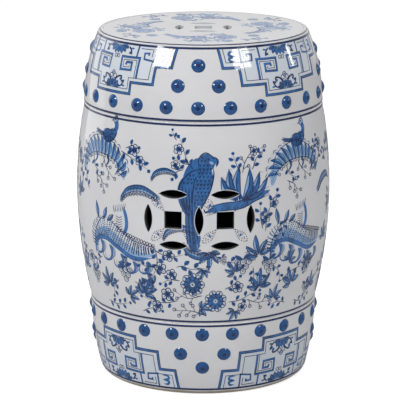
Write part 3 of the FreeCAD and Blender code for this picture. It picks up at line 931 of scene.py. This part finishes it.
BIRDS = (
    (perched_bird, 0, 262, 0, 0.98),
    (small_bird, -133, 331),
    (small_bird, 150, 326),
)
SCROLLS = (
    (feather_scroll, -110, 214),
    (leafy_mound, -146, 331, 0, 0.95),
    (feather_scroll, 148, 216, 0, 0.95),
    (leafy_mound, 140, 327, 4, 0.92),
    (plume, -110, 259),
    (plume, -64, 290, 8, 0.62),
    (bough, 58, 266),
    (plume, -22, 210, 172, 0.8, True),
    (plume, -48, 214, 10, 0.75),
    (plume, 232, 270, 20, 0.8, True),
)
LEAVES = (
    (star_leaves, 12, 199, 180, 0.95),
    (star_leaves, 80, 190, 12, 1.15),
    (star_leaves, 84, 146, 0, 1.1),
    (star_leaves, -78, 136, -25, 1.05),
    (star_leaves, 139, 144, 20),
    (star_leaves, -140, 140, 10, 0.95),
    (star_leaves, 108, 128, -15, 0.8),
    (star_leaves, -6, 200, 0, 0.55),
    (star_leaves, 190, 128, 0, 0.9),
    (star_leaves, -206, 150),
    (star_leaves, -205, 250, 20, 0.9),
    (star_leaves, 215, 190, -10, 0.9),
    (star_leaves, 48, 170, 30, 0.75),
    (star_leaves, 6, 176, 160, 0.6),
    (star_leaves, -62, 152, 70, 0.8),
    (star_leaves, 0, 122, -100, 0.7),
    (star_leaves, 128, 176, -40, 0.7),
    (star_leaves, -104, 130, -60, 0.8),
    (star_leaves, 50, 118, 150, 0.65),
)
FLOWERS = (
    (rosette, -9, 155),
    (rosette, 22, 132, 20, 0.95),
    (blossom, -27, 331, 0, 1.15),
    (blossom, -31, 311, 10),
    (blossom, 73, 327),
    (blossom, -40, 193, 0, 1.3),
    (blossom, -52, 175, 30, 1.4),
    (blossom, -37, 168, 0, 1.2),
    (blossom, -44, 140, 0, 1.5),
    (blossom, 52, 150, 20, 1.3),
    (blossom, 100, 258, 0, 1.1),
    (blossom, 88, 240, 30, 1.1),
    (blossom, -90, 325, 0, 1.3),
    (blossom, -80, 312, 0, 1.1),
    (blossom, 196, 320, 0, 1.2),
    (blossom, 60, 122, 0, 1.1),
    (blossom, -60, 122, 0, 1.3),
    (blossom, -180, 170, 0, 1.4),
    (blossom, 175, 170, 0, 1.2),
    (blossom, -216, 300, 0, 1.4),
    (blossom, 236, 320, 0, 1.3),
    (blossom, 232, 236, 0, 1.2),
    (blossom, -232, 200, 0, 1.3),
    (berry_cone, 58, 184),
    (berry_cone, 96, 180, 0, 0.95),
    (berry_cone, -106, 166),
    (berry_cone, 169, 168, 0, 0.9),
    (berry_cone, 176, 134, 10, 0.8),
    (berry_cone, -172, 150, 0, 0.9),
    (berry_cone, 30, 190, 20, 0.5),
    (berry_cone, 250, 170),
    (berry_cone, -246, 240),
)
# Twigs: where each stands, where its line goes from there, its leaves, their length, and True for buds
TWIGS = (
    (-7, 306, [(-8, 10), (-14, 26), (-19, 40)], 6, 10),
    (-10, 312, [(-12, 2), (-22, 8)], 4, 9),
    (-20, 306, [(-10, -4), (-14, -12)], 3, 9),
    (52, 302, [(-4, 10), (-8, 22)], 5, 9),
    (56, 300, [(4, 14), (14, 26), (30, 30)], 6, 8, True),
    (70, 304, [(6, 14), (16, 22)], 5, 9),
    (88, 222, [(2, 20), (10, 38), (18, 50)], 8, 10),
    (84, 226, [(-4, 16), (-4, 32)], 5, 9),
    (-112, 322, [(16, -6), (34, -14), (44, -20)], 7, 10),
    (-104, 326, [(10, 4), (20, 2)], 4, 9),
    (178, 306, [(4, 12), (12, 24)], 6, 9),
    (190, 300, [(8, 8), (18, 10)], 4, 9),
    (-64, 206, [(10, -10), (28, -14), (46, -10)], 7, 9),
    (-58, 200, [(2, -16), (-4, -34), (-20, -52)], 8, 10),
    (-30, 178, [(8, 2), (20, -2), (40, 0)], 6, 11),
    (-26, 160, [(-14, 0), (-26, -6)], 5, 9),
    (-30, 132, [(-16, -4), (-34, -4), (-52, 2)], 8, 9),
    (8, 112, [(-18, 6), (-40, 6)], 7, 9, True),
    (34, 148, [(12, 6), (20, 16)], 5, 9),
    (40, 130, [(16, 2), (34, 10), (44, 8)], 7, 9),
    (60, 196, [(14, 2), (28, -6), (36, -20)], 4, 8, True),
    (98, 162, [(-8, -6), (-14, -18)], 4, 9),
    (118, 150, [(14, 10), (34, 14), (50, 10)], 6, 9),
    (160, 184, [(6, -14), (4, -30)], 5, 8),
    (-120, 150, [(-10, -10), (-14, -24)], 5, 9),
    (-92, 152, [(14, -6), (24, -18)], 5, 9),
    (-150, 176, [(-14, -8), (-24, -22)], 6, 9),
    (-196, 160, [(-6, 20), (-16, 38)], 7, 9),
    (-198, 268, [(-8, 20), (-22, 36), (-34, 40)], 8, 10),
    (-176, 262, [(-8, 14), (-10, 30)], 5, 9),
    (-228, 160, [(-4, 22), (-14, 44), (-18, 66)], 9, 10),
    (-236, 290, [(-4, -18), (0, -36)], 6, 9, True),
    (206, 296, [(14, 10), (30, 26)], 6, 10),
    (224, 220, [(4, 16), (2, 34)], 6, 9),
    (206, 140, [(12, 14), (30, 24), (44, 44)], 9, 10),
    (236, 150, [(-2, -14), (-10, -26)], 5, 9, True),
    (150, 118, [(16, -4), (36, 0)], 6, 9),
    (-150, 116, [(20, -2), (44, 4)], 7, 9),
    (-84, 112, [(14, 6), (30, 4)], 5, 9),
    (-100, 186, [(-6, -10), (-16, -16)], 5, 8),
    (72, 176, [(2, -14), (-4, -26)], 5, 9),
    (66, 132, [(16, -6), (34, -6)], 5, 9, True),
    (100, 176, [(12, -10), (16, -24)], 5, 8),
    (-60, 176, [(-14, 0), (-26, 6)], 5, 9),
    (4, 140, [(-20, -4), (-36, 4)], 5, 8, True),
    (118, 236, [(-4, -16), (-14, -28)], 6, 9),
    (30, 186, [(14, -2), (26, -8)], 4, 10),
    (-30, 342, [(-4, 6), (-6, 12)], 3, 7),
    (-160, 286, [(14, -6), (20, -18)], 5, 9, True),
    (122, 284, [(14, -8), (18, -20)], 5, 9, True),
    (132, 118, [(-14, 4), (-28, 2)], 5, 9),
)
# Sprays that close the gap between the two pictures, placed from the middle of each side
SIDE_MOTIFS = (
    (rosette, 0, 240),
    (star_leaves, 0, 260),
    (star_leaves, 0, 220, 180),
    (rosette, -4, 160, 0, 0.8),
    (star_leaves, 14, 178, -40, 0.8),
    (star_leaves, -16, 138, 140, 0.8),
    (blossom, -10, 318, 0, 1.3),
    (blossom, 12, 300, 20, 1.3),
    (blossom, 8, 344, 40, 1.1),
    (blossom, 20, 122, 0, 1.2),
)
SIDE_TWIGS = (
    (0, 276, [(4, 20), (-6, 44), (2, 70)], 9, 10),
    (0, 286, [(-14, 10), (-24, 26)], 5, 9, True),
    (2, 208, [(10, -12), (24, -18)], 5, 9),
    (-4, 206, [(-10, -14), (-12, -30)], 5, 9),
    (-6, 146, [(8, -14), (2, -32)], 6, 9),
    (0, 118, [(-18, -2), (-34, 6)], 5, 9, True),
)


def draw_motifs(pen, motifs, twigs=()):
    """Draws motifs and twigs, each at its own place."""
    for motif, *place in motifs:
        motif(pen.at(*place))
    for x, height, bends, *leaves in twigs:
        sprig(pen.at(x, height), [(0, 0), *bends], *leaves)


def paint_picture(side, turn, flip):
    """One side of the belly's picture, in a few pieces by kind of motif."""
    coins = [(coin_leaves, *middle) for middle in BELLY_SQUARES]
    for kind, motifs in (
        ("birds", BIRDS), ("scrolls", SCROLLS), ("leaves", LEAVES), ("flowers", FLOWERS), ("twigs", coins)
    ):
        pattern = Pattern(f"{side}_{kind}")
        pen = pattern.at(flip=flip)
        if kind == "twigs":
            draw_motifs(pen, (), TWIGS)
        draw_motifs(pen, motifs)
        pattern.keep_clear(BELLY_SQUARES, BELLY_PETALS)
        pattern.finish(on_belly(turn))
    lips = Pattern(f"{side}_opening_lips")
    opening_lips(lips, BELLY_SQUARES, BELLY_PETALS)
    lips.finish(on_belly(turn))


def paint_sides():
    """The flower sprays at the stool's two sides."""
    pattern = Pattern("side_sprays")
    for side in (-1, 1):
        draw_motifs(pattern.at(x=side * math.pi * BELLY_RADIUS / 2, flip=side < 0), SIDE_MOTIFS, SIDE_TWIGS)
    pattern.finish(on_belly(FRONT_TURN))


# The seat's picture: four like sprays round the coin opening
SEAT_SPRAY = (
    (rosette, 0, 82, 0, 0.95),
    (star_leaves, 22, 76, -70),
    (plume, 34, 66, -52, 0.75),
    (blossom, 42, 92, 0, 1.3),
    (blossom, -38, 84, 20, 1.2),
    (blossom, 8, 110, 0, 1.2),
)
SEAT_TWIGS = (
    (6, 98, [(18, 6), (36, 2), (50, -8)], 7, 10),
    (-8, 66, [(10, -8), (26, -6)], 5, 9),
    (-12, 104, [(-14, 6), (-30, 4)], 5, 9, True),
    (36, 80, [(14, -6), (26, -18)], 5, 9),
)


def paint_seat():
    """The sprays on the seat and the lips of its coin opening."""
    pattern = Pattern("seat_sprays")
    for quarter in range(4):
        draw_motifs(pattern.at(turn=90 * quarter + 20), SEAT_SPRAY, SEAT_TWIGS)
    pattern.keep_clear([(0, 0)], SEAT_PETALS)
    pattern.finish(on_seat, SEAT_PAINTS)
    lips = Pattern("seat_opening_lips")
    opening_lips(lips, [(0, 0)], SEAT_PETALS)
    lips.finish(on_seat)


# Add-on


class StoolFinish(bpy.types.PropertyGroup):
    """Sizes and colours of the stool's glazing and painting."""

    ring_line: bpy.props.FloatProperty(
        name="Ring line", description="Width of the painted rings", default=0.0026, min=0.0005, max=0.01,
        subtype="DISTANCE", unit="LENGTH",
    )
    fret_bar: bpy.props.FloatProperty(
        name="Fret bar", description="Width of the frets' thick outline", default=0.0036, min=0.0005, max=0.01,
        subtype="DISTANCE", unit="LENGTH",
    )
    fret_line: bpy.props.FloatProperty(
        name="Fret line", description="Width of the frets' fine inner line", default=0.0008, min=0.0002, max=0.003,
        subtype="DISTANCE", unit="LENGTH",
    )
    glaze_white: bpy.props.FloatVectorProperty(
        name="White glaze", description="Colour of the walls' pale glaze where it is thick",
        default=(0.665, 0.665, 0.685), min=0, max=1, subtype="COLOR",
    )
    cobalt: bpy.props.FloatVectorProperty(
        name="Cobalt", description="Colour of the broad brush marks", default=(0.020, 0.086, 0.235), min=0, max=1,
        subtype="COLOR",
    )
    pale_cobalt: bpy.props.FloatVectorProperty(
        name="Pale cobalt", description="Colour of the watered-down brush marks", default=(0.21, 0.325, 0.50),
        min=0, max=1, subtype="COLOR",
    )
    brush_line: bpy.props.FloatVectorProperty(
        name="Outlines", description="Colour of the dark rings and outlines", default=(0.004, 0.014, 0.06),
        min=0, max=1, subtype="COLOR",
    )
    stud_blue: bpy.props.FloatVectorProperty(
        name="Studs", description="Colour of the domed studs", default=(0.004, 0.050, 0.165), min=0, max=1,
        subtype="COLOR",
    )
    foot_clay: bpy.props.FloatVectorProperty(
        name="Foot", description="Colour of the bare clay under the foot", default=(0.44, 0.38, 0.31), min=0, max=1,
        subtype="COLOR",
    )


def finish_settings():
    return bpy.context.scene.stool_finish


class STOOL_OT_shells(bpy.types.Operator):
    """Glaze the bands, the belly and the seat"""

    bl_idname = "stool.glaze_shells"
    bl_label = "Glaze the shells"

    def execute(self, context):
        for node, finish in (("upper_band", "white_glaze_fired"), ("lower_band", "foot_wiped_glaze")):
            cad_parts[node].material_slots[0].material = material(finish)
        glaze_belly()
        glaze_seat()
        return {"FINISHED"}


def loose_parts(mesh):
    """The separate bodies of a mesh, each as a list of its vertices."""
    waiting = set(mesh.verts)
    while waiting:
        part, edge_on = [], [waiting.pop()]
        while edge_on:
            vert = edge_on.pop()
            part.append(vert)
            for edge in vert.link_edges:
                other = edge.other_vert(vert)
                if other in waiting:
                    waiting.remove(other)
                    edge_on.append(other)
        yield part


def stud_eyes(names, radius=2.4, height=0.12):
    """The darker spot on top of each stud, where the cobalt pools."""
    eyes = bmesh.new()
    for name in names:
        studs = merged_copy(name)
        for part in loose_parts(studs):
            places = [vert.co for vert in part]
            middle = sum(places, Vector()) / len(places)
            side = UPPER_SIDE if middle.z / MM > SEAM_HIGH else LOWER_SIDE
            level = Vector((middle.x, middle.y, 0)).normalized()
            out = (middle - level * side.across * MM - Vector((0, 0, side.level * MM))).normalized()
            top = max(places, key=lambda place: place.dot(out))
            crown = middle + out * (top - middle).dot(out)
            at = Matrix.Translation(crown - out * height * MM) @ out.to_track_quat("Z", "Y").to_matrix().to_4x4()
            disc = bmesh.ops.create_circle(eyes, cap_ends=True, segments=16, radius=radius * MM, matrix=at)["verts"]
            flat = list({face for vert in disc for face in vert.link_faces})
            raised = bmesh.ops.extrude_face_region(eyes, geom=flat, use_keep_orig=True)["geom"]
            lifted = [vert for vert in raised if isinstance(vert, bmesh.types.BMVert)]
            bmesh.ops.translate(eyes, verts=lifted, vec=out * height * 1.3 * MM)
        studs.free()
    bmesh.ops.recalc_face_normals(eyes, faces=eyes.faces)
    for edge in eyes.edges:
        edge.smooth = edge.calc_face_angle(0) < 0.6
    make_piece("stud_eyes", eyes, ["painted_line"])


class STOOL_OT_studs(bpy.types.Operator):
    """Glaze the domed studs in cobalt"""

    bl_idname = "stool.glaze_studs"
    bl_label = "Glaze the studs"

    def execute(self, context):
        studs = [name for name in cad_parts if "stud" in name]
        for name in studs:
            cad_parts[name].material_slots[0].material = material("stud_cobalt")
        stud_eyes(studs)
        return {"FINISHED"}


# The painted rings: the height of each and how wide it is against the ring line
RINGS = (
    (TOP - 1.0, 0.35),
    (TOP - 4.7, 1.0),
    (SEAM_HIGH + 2.9, 1.0),
    (SEAM_HIGH - 3.0, 1.0),
    (SEAM_LOW + 3.0, 1.0),
    (SEAM_LOW - 3.1, 1.0),
    (8.0, 1.0),
)


class STOOL_OT_rings(bpy.types.Operator):
    """Paint the rings along the seams, the rim and the foot"""

    bl_idname = "stool.paint_rings"
    bl_label = "Paint the rings"

    def execute(self, context):
        mesh = bmesh.new()
        width = finish_settings().ring_line / MM
        for height, share in RINGS:
            half = width * share / 2
            lift = COATS["line"]
            corners = [(height - half, -SINK), (height + half, -SINK), (height + half, lift), (height - half, lift)]
            section = [mesh.verts.new(wall_place(0, level, raised)) for level, raised in corners]
            edges = [mesh.edges.new((section[i], section[(i + 1) % 4])) for i in range(4)]
            bmesh.ops.spin(
                mesh, geom=section + edges, axis=(0, 0, 1), cent=(0, 0, 0), angle=2 * math.pi,
                steps=240, use_merge=True,
            )
        bmesh.ops.recalc_face_normals(mesh, faces=mesh.faces)
        for edge in mesh.edges:
            edge.smooth = edge.calc_face_angle(0) < 0.6
        make_piece("painted_rings", mesh, ["painted_line"])
        return {"FINISHED"}


# Frets: x from a panel's middle line, and y down from the rim or up from the foot
# Each band's panels: the height that they start from, how they stretch up (or down) from it, and their turns
FRET_BANDS = (
    ("upper", TOP - 5.7, -1.0, (42.9, -49.0, 222.9, 131.0)),
    ("lower", 8.6, 1.1, (43.8, -48.5, 223.8, 131.5)),
)
FRET_OUTLINE = [(85.5, 0), (85.5, 23), (64.5, 23), (64.5, 45), (32, 45), (32, 59.5)]
FRET_FINE = [(80, 0.5), (80, 16.5), (58, 17), (57.5, 39.5), (27.5, 39.5), (27.5, 54)]
FRET_BAR = [(39, 39.5), (39, 14.5), (10, 15), (11, 30.5), (28.5, 30), (28.3, 21), (20, 21), (19, 24.5)]
FRET_BAR_FINE = [(35.6, 39.5), (35.6, 17.8), (14, 18.2), (14.6, 27), (25, 26.8), (25, 24)]
FRET_SHORT = [(33.5, 0), (33.5, 14)]
FRET_HOOK = [(59, 0.5), (60, 17), (45.5, 15.2), (44.4, 8.2), (51, 7.7), (51, 10.6)]
FRET_HOOK_FINE = [(37.5, 3), (55.8, 3), (55.8, 12)]
FRET_CURL = [(66, 4), (72, 4.2), (74, 8), (68.5, 9.5), (74.5, 11.5), (74, 15), (66, 15.5)]


def draw_fret(pen, bar, fine):
    """One stepped fret panel with its scrolls, curls and two lotus flowers."""
    outline = FRET_OUTLINE + mirrored(reversed(FRET_OUTLINE))
    for low, high, half in ((0.5, 23, 85), (23, 45, 64), (45, 59, 31.5)):
        middle = (low + high) / 2
        pen.bar("reserve", [(-half, middle), (half, middle)], high - low)
    pen.bar("wash", outline, bar)
    for edge in (-1, 1):
        pen.bar("line", beside(outline, edge * (bar / 2 - 0.4)), 0.8)
    pen.bar("line", FRET_FINE + mirrored(reversed(FRET_FINE)), fine)
    for points, width in ((FRET_BAR, 3.0), (FRET_SHORT, 2.4), (FRET_HOOK, 2.2)):
        for side in (points, mirrored(points)):
            pen.bar("wash", side, width)
            pen.bar("line", beside(side, width / 2 - 0.35), 0.7)
    for points in (FRET_BAR_FINE, FRET_HOOK_FINE):
        for side in (points, mirrored(points)):
            pen.bar("line", side, fine)
    for side in (FRET_CURL, mirrored(FRET_CURL)):
        pen.mark("wash", side, 2.8, soft)
    draw_lotus(pen.at(0, 0.5), 17, 12)
    draw_lotus(pen.at(0, 54, 180), 13, 12, standing=True)


def draw_lotus(pen, reach, rise, standing=False):
    """Half a lotus on a line, its petals spread to both sides."""
    for side in (-1, 1):
        for share, height, width in ((1.0, 0.35, 6.0), (0.74, 0.78, 6.5), (0.36, 1.0, 6.5)):
            tip = (side * reach * share, rise * height)
            root = (side * reach * share * 0.4, 0.3)
            middle = ((root[0] + tip[0]) / 2 + side * 0.8, (root[1] + tip[1]) / 2)
            pen.mark("pale", [root, middle, tip], width, leaf)
            pen.mark("wash", [root, middle, tip], width * 0.8, drop)
            for edge in (-1, 1):
                pen.outline([root, (middle[0] + edge * width * 0.45, middle[1]), tip], 0.8)
        curl_line = [(side * reach, 1.5), (side * (reach + 5), 5.5), (side * (reach + 7), 10), (side * (reach + 3), 9)]
        pen.outline(curl_line, 1.9)
        pen.mark("wash", [(side * (reach + 2), 4), (side * (reach + 10), 3.5)], 2.6, drop)
        pen.dot("wash", (side * (reach + 4), 9), 1.7, 8)
    pen.mark("pale", [(0, 0.3), (0, rise)], 7.5, leaf)
    pen.mark("wash", [(0, 0.3), (0, rise * 0.95)], 5.5, drop)
    pen.mark("line", [(0, 0.3), (0, rise * 0.8)], 1.2, flick)
    if standing:
        for side in (-1, 1):
            pen.outline([(side * 4, 9), (side * 9, 14), (side * 15, 15), (side * 16.5, 11)], 2.2)
            pen.dot("wash", (side * 14.5, 11.5), 2.0, 8)
            pen.ring("line", (side * 3.6, 14.5), 2.8, 0.9)
        pen.ring("line", (0, 18), 2.8, 0.9)
        pen.dot("wash", (0, 18), 1.4, 8)
    else:
        for side in (-1, 1):
            pen.ring("line", (side * 2.4, rise + 2.4), 2.1, 0.8)


class STOOL_OT_frets(bpy.types.Operator):
    """Paint the stepped fret panels round both bands"""

    bl_idname = "stool.paint_frets"
    bl_label = "Paint the frets"

    def execute(self, context):
        settings = finish_settings()
        for band, start, stretch, turns in FRET_BANDS:
            for panel, turn in enumerate(turns):
                pattern = Pattern(f"{band}_fret_{panel + 1}")
                draw_fret(pattern, settings.fret_bar / MM, settings.fret_line / MM)
                pattern.finish(on_band(turn, start, stretch))
        return {"FINISHED"}


class STOOL_OT_belly(bpy.types.Operator):
    """Paint the birds and flowers round the belly"""

    bl_idname = "stool.paint_belly"
    bl_label = "Paint the belly"

    def execute(self, context):
        paint_picture("front", FRONT_TURN, False)
        paint_picture("back", BACK_TURN, True)
        paint_sides()
        return {"FINISHED"}


class STOOL_OT_seat(bpy.types.Operator):
    """Paint the sprays on the seat"""

    bl_idname = "stool.paint_seat"
    bl_label = "Paint the seat"

    def execute(self, context):
        paint_seat()
        return {"FINISHED"}


# Stage

PHOTO_PITCH, PHOTO_YAW = 13.72, 0.087
ROOM_LIGHT = 0.42
CAMERA_BACK, CAMERA_HEIGHT, CAMERA_LENS = 2.8808, 0.9302, 200.19
STOOL_MIDDLE = Vector((0, 0, 0.23))
# Softboxes, in metres and watts: turn round the stool, slope above the level, distance, size and power
SOFTBOXES = {
    "left_softbox": (-43, 29, 2.0, (0.56, 0.40), 15),
    "right_softbox": (40, 29, 2.0, (0.56, 0.40), 8),
    "left_fill": (-122, 14, 2.2, (1.4, 2.0), 8),
    "edge_strip": (99, 17, 2.0, (0.10, 0.34), 1.5),
    "overhead": (0, 80, 2.4, (1.6, 1.6), 10),
}


def add_softbox(name, turn, slope, distance, size, watts):
    """A rectangular softbox aimed at the stool."""
    angle, up = math.radians(turn), math.radians(slope)
    flat = distance * math.cos(up)
    place = Vector((flat * math.sin(angle), -flat * math.cos(angle), 0.3 + distance * math.sin(up)))
    lamp = bpy.data.lights.new(name, "AREA")
    lamp.shape = "RECTANGLE"
    lamp.size, lamp.size_y = size
    lamp.energy = watts
    box = bpy.data.objects.new(name, lamp)
    box.location = place
    box.rotation_euler = (STOOL_MIDDLE - place).to_track_quat("-Z", "Y").to_euler()
    bpy.context.scene.collection.objects.link(box)


def stage_plane(name, size, finish, place=Matrix.Identity(4)):
    """A flat square of the stage, lying at the origin or at a given place."""
    flat = bmesh.new()
    bmesh.ops.create_grid(flat, x_segments=1, y_segments=1, size=size, matrix=place)
    data = bpy.data.meshes.new(name)
    flat.to_mesh(data)
    flat.free()
    data.materials.append(finish)
    plane = bpy.data.objects.new(name, data)
    bpy.context.scene.collection.objects.link(plane)


def room_strength(tree, level, mirrored):
    """The room's strength: white to the camera, and its own strength in mirror images on the glaze."""
    path = tree.nodes.new("ShaderNodeLightPath").outputs
    seen = ranged(tree, path["Is Camera Ray"], 0, 1, level, 1.0)
    return computed(tree, "MULTIPLY_ADD", path["Is Glossy Ray"], mirrored - level, seen)


def stage_shader(name, shade):
    """A matt stage surface, ready for white light of its own."""
    finish, tree, principled = shader(name, 0.9)
    fill(principled, Base_Color=(shade, shade, shade, 1), Specular_IOR_Level=0.0, Emission_Color=(1, 1, 1, 1))
    return finish, tree, principled


def card_material(level, mirrored):
    """A card behind the stool, brighter than the room in the glaze."""
    finish, tree, principled = stage_shader("white_card", 0)
    fill(principled, Emission_Strength=room_strength(tree, level, mirrored))
    return finish


def studio_world(level, mirrored):
    """Plain white room light."""
    world = bpy.data.worlds.new("studio_world")
    world.use_nodes = True
    tree = world.node_tree
    fill(tree.nodes["Background"], Color=(1, 1, 1, 1), Strength=room_strength(tree, level, mirrored))
    bpy.context.scene.world = world


def floor_material():
    """A white sweep that keeps the stool's soft shadow."""
    finish, tree, principled = stage_shader("white_sweep", 0.7)
    away = tree.nodes.new("ShaderNodeVectorMath")
    away.operation = "LENGTH"
    feed(away.inputs[0], object_place(tree))
    outside = ranged(tree, away.outputs["Value"], (FOOT_RADIUS - 14) * MM, (FOOT_RADIUS - 8) * MM, 0.0, 0.7)
    seen = tree.nodes.new("ShaderNodeLightPath").outputs["Is Camera Ray"]
    fill(principled, Emission_Strength=computed(tree, "MULTIPLY", seen, outside))
    return finish


class STOOL_OT_stage(bpy.types.Operator):
    """Lay the floor, hang the lamps and set up the camera"""

    bl_idname = "stool.stage"
    bl_label = "Set the stage"

    def execute(self, context):
        scene = context.scene
        stage_plane("floor", 30.0, floor_material())
        upright = Matrix.Translation((0, 6, 4)) @ Matrix.Rotation(math.radians(90), 4, "X")
        stage_plane("white_card", 4.0, card_material(ROOM_LIGHT, 0.85), upright)
        studio_world(ROOM_LIGHT, 0.55)
        for name, setting in SOFTBOXES.items():
            add_softbox(name, *setting)
        camera = bpy.data.cameras.new("camera")
        camera.lens = CAMERA_LENS
        camera.sensor_width = 36
        view = bpy.data.objects.new("camera", camera)
        view.location = (0, -CAMERA_BACK, CAMERA_HEIGHT)
        view.rotation_euler = (math.radians(90 - PHOTO_PITCH), 0, math.radians(PHOTO_YAW))
        scene.collection.objects.link(view)
        scene.camera = view
        scene.view_settings.view_transform = "Standard"
        return {"FINISHED"}


class STOOL_PT_panel(bpy.types.Panel):
    """Lists the stool's steps in the sidebar."""

    bl_label = "Garden Stool"
    bl_idname = "STOOL_PT_panel"
    bl_space_type = "VIEW_3D"
    bl_region_type = "UI"
    bl_category = "Garden Stool"

    def draw(self, context):
        settings = finish_settings()
        for name in StoolFinish.__annotations__:
            self.layout.prop(settings, name)
        for step in STEPS:
            self.layout.operator(step.bl_idname)


STEPS = (
    STOOL_OT_shells, STOOL_OT_studs, STOOL_OT_rings, STOOL_OT_frets, STOOL_OT_belly, STOOL_OT_seat, STOOL_OT_stage
)
CLASSES = (StoolFinish, *STEPS, STOOL_PT_panel)


def register():
    for one in CLASSES:
        bpy.utils.register_class(one)
    bpy.types.Scene.stool_finish = bpy.props.PointerProperty(type=StoolFinish)


def unregister():
    del bpy.types.Scene.stool_finish
    for one in reversed(CLASSES):
        bpy.utils.unregister_class(one)


def main():
    register()
    bpy.ops.stool.glaze_shells()
    bpy.ops.stool.glaze_studs()
    bpy.ops.stool.paint_rings()
    bpy.ops.stool.paint_frets()
    bpy.ops.stool.paint_belly()
    bpy.ops.stool.paint_seat()
    bpy.ops.stool.stage()


if __name__ == "__main__":
    main()
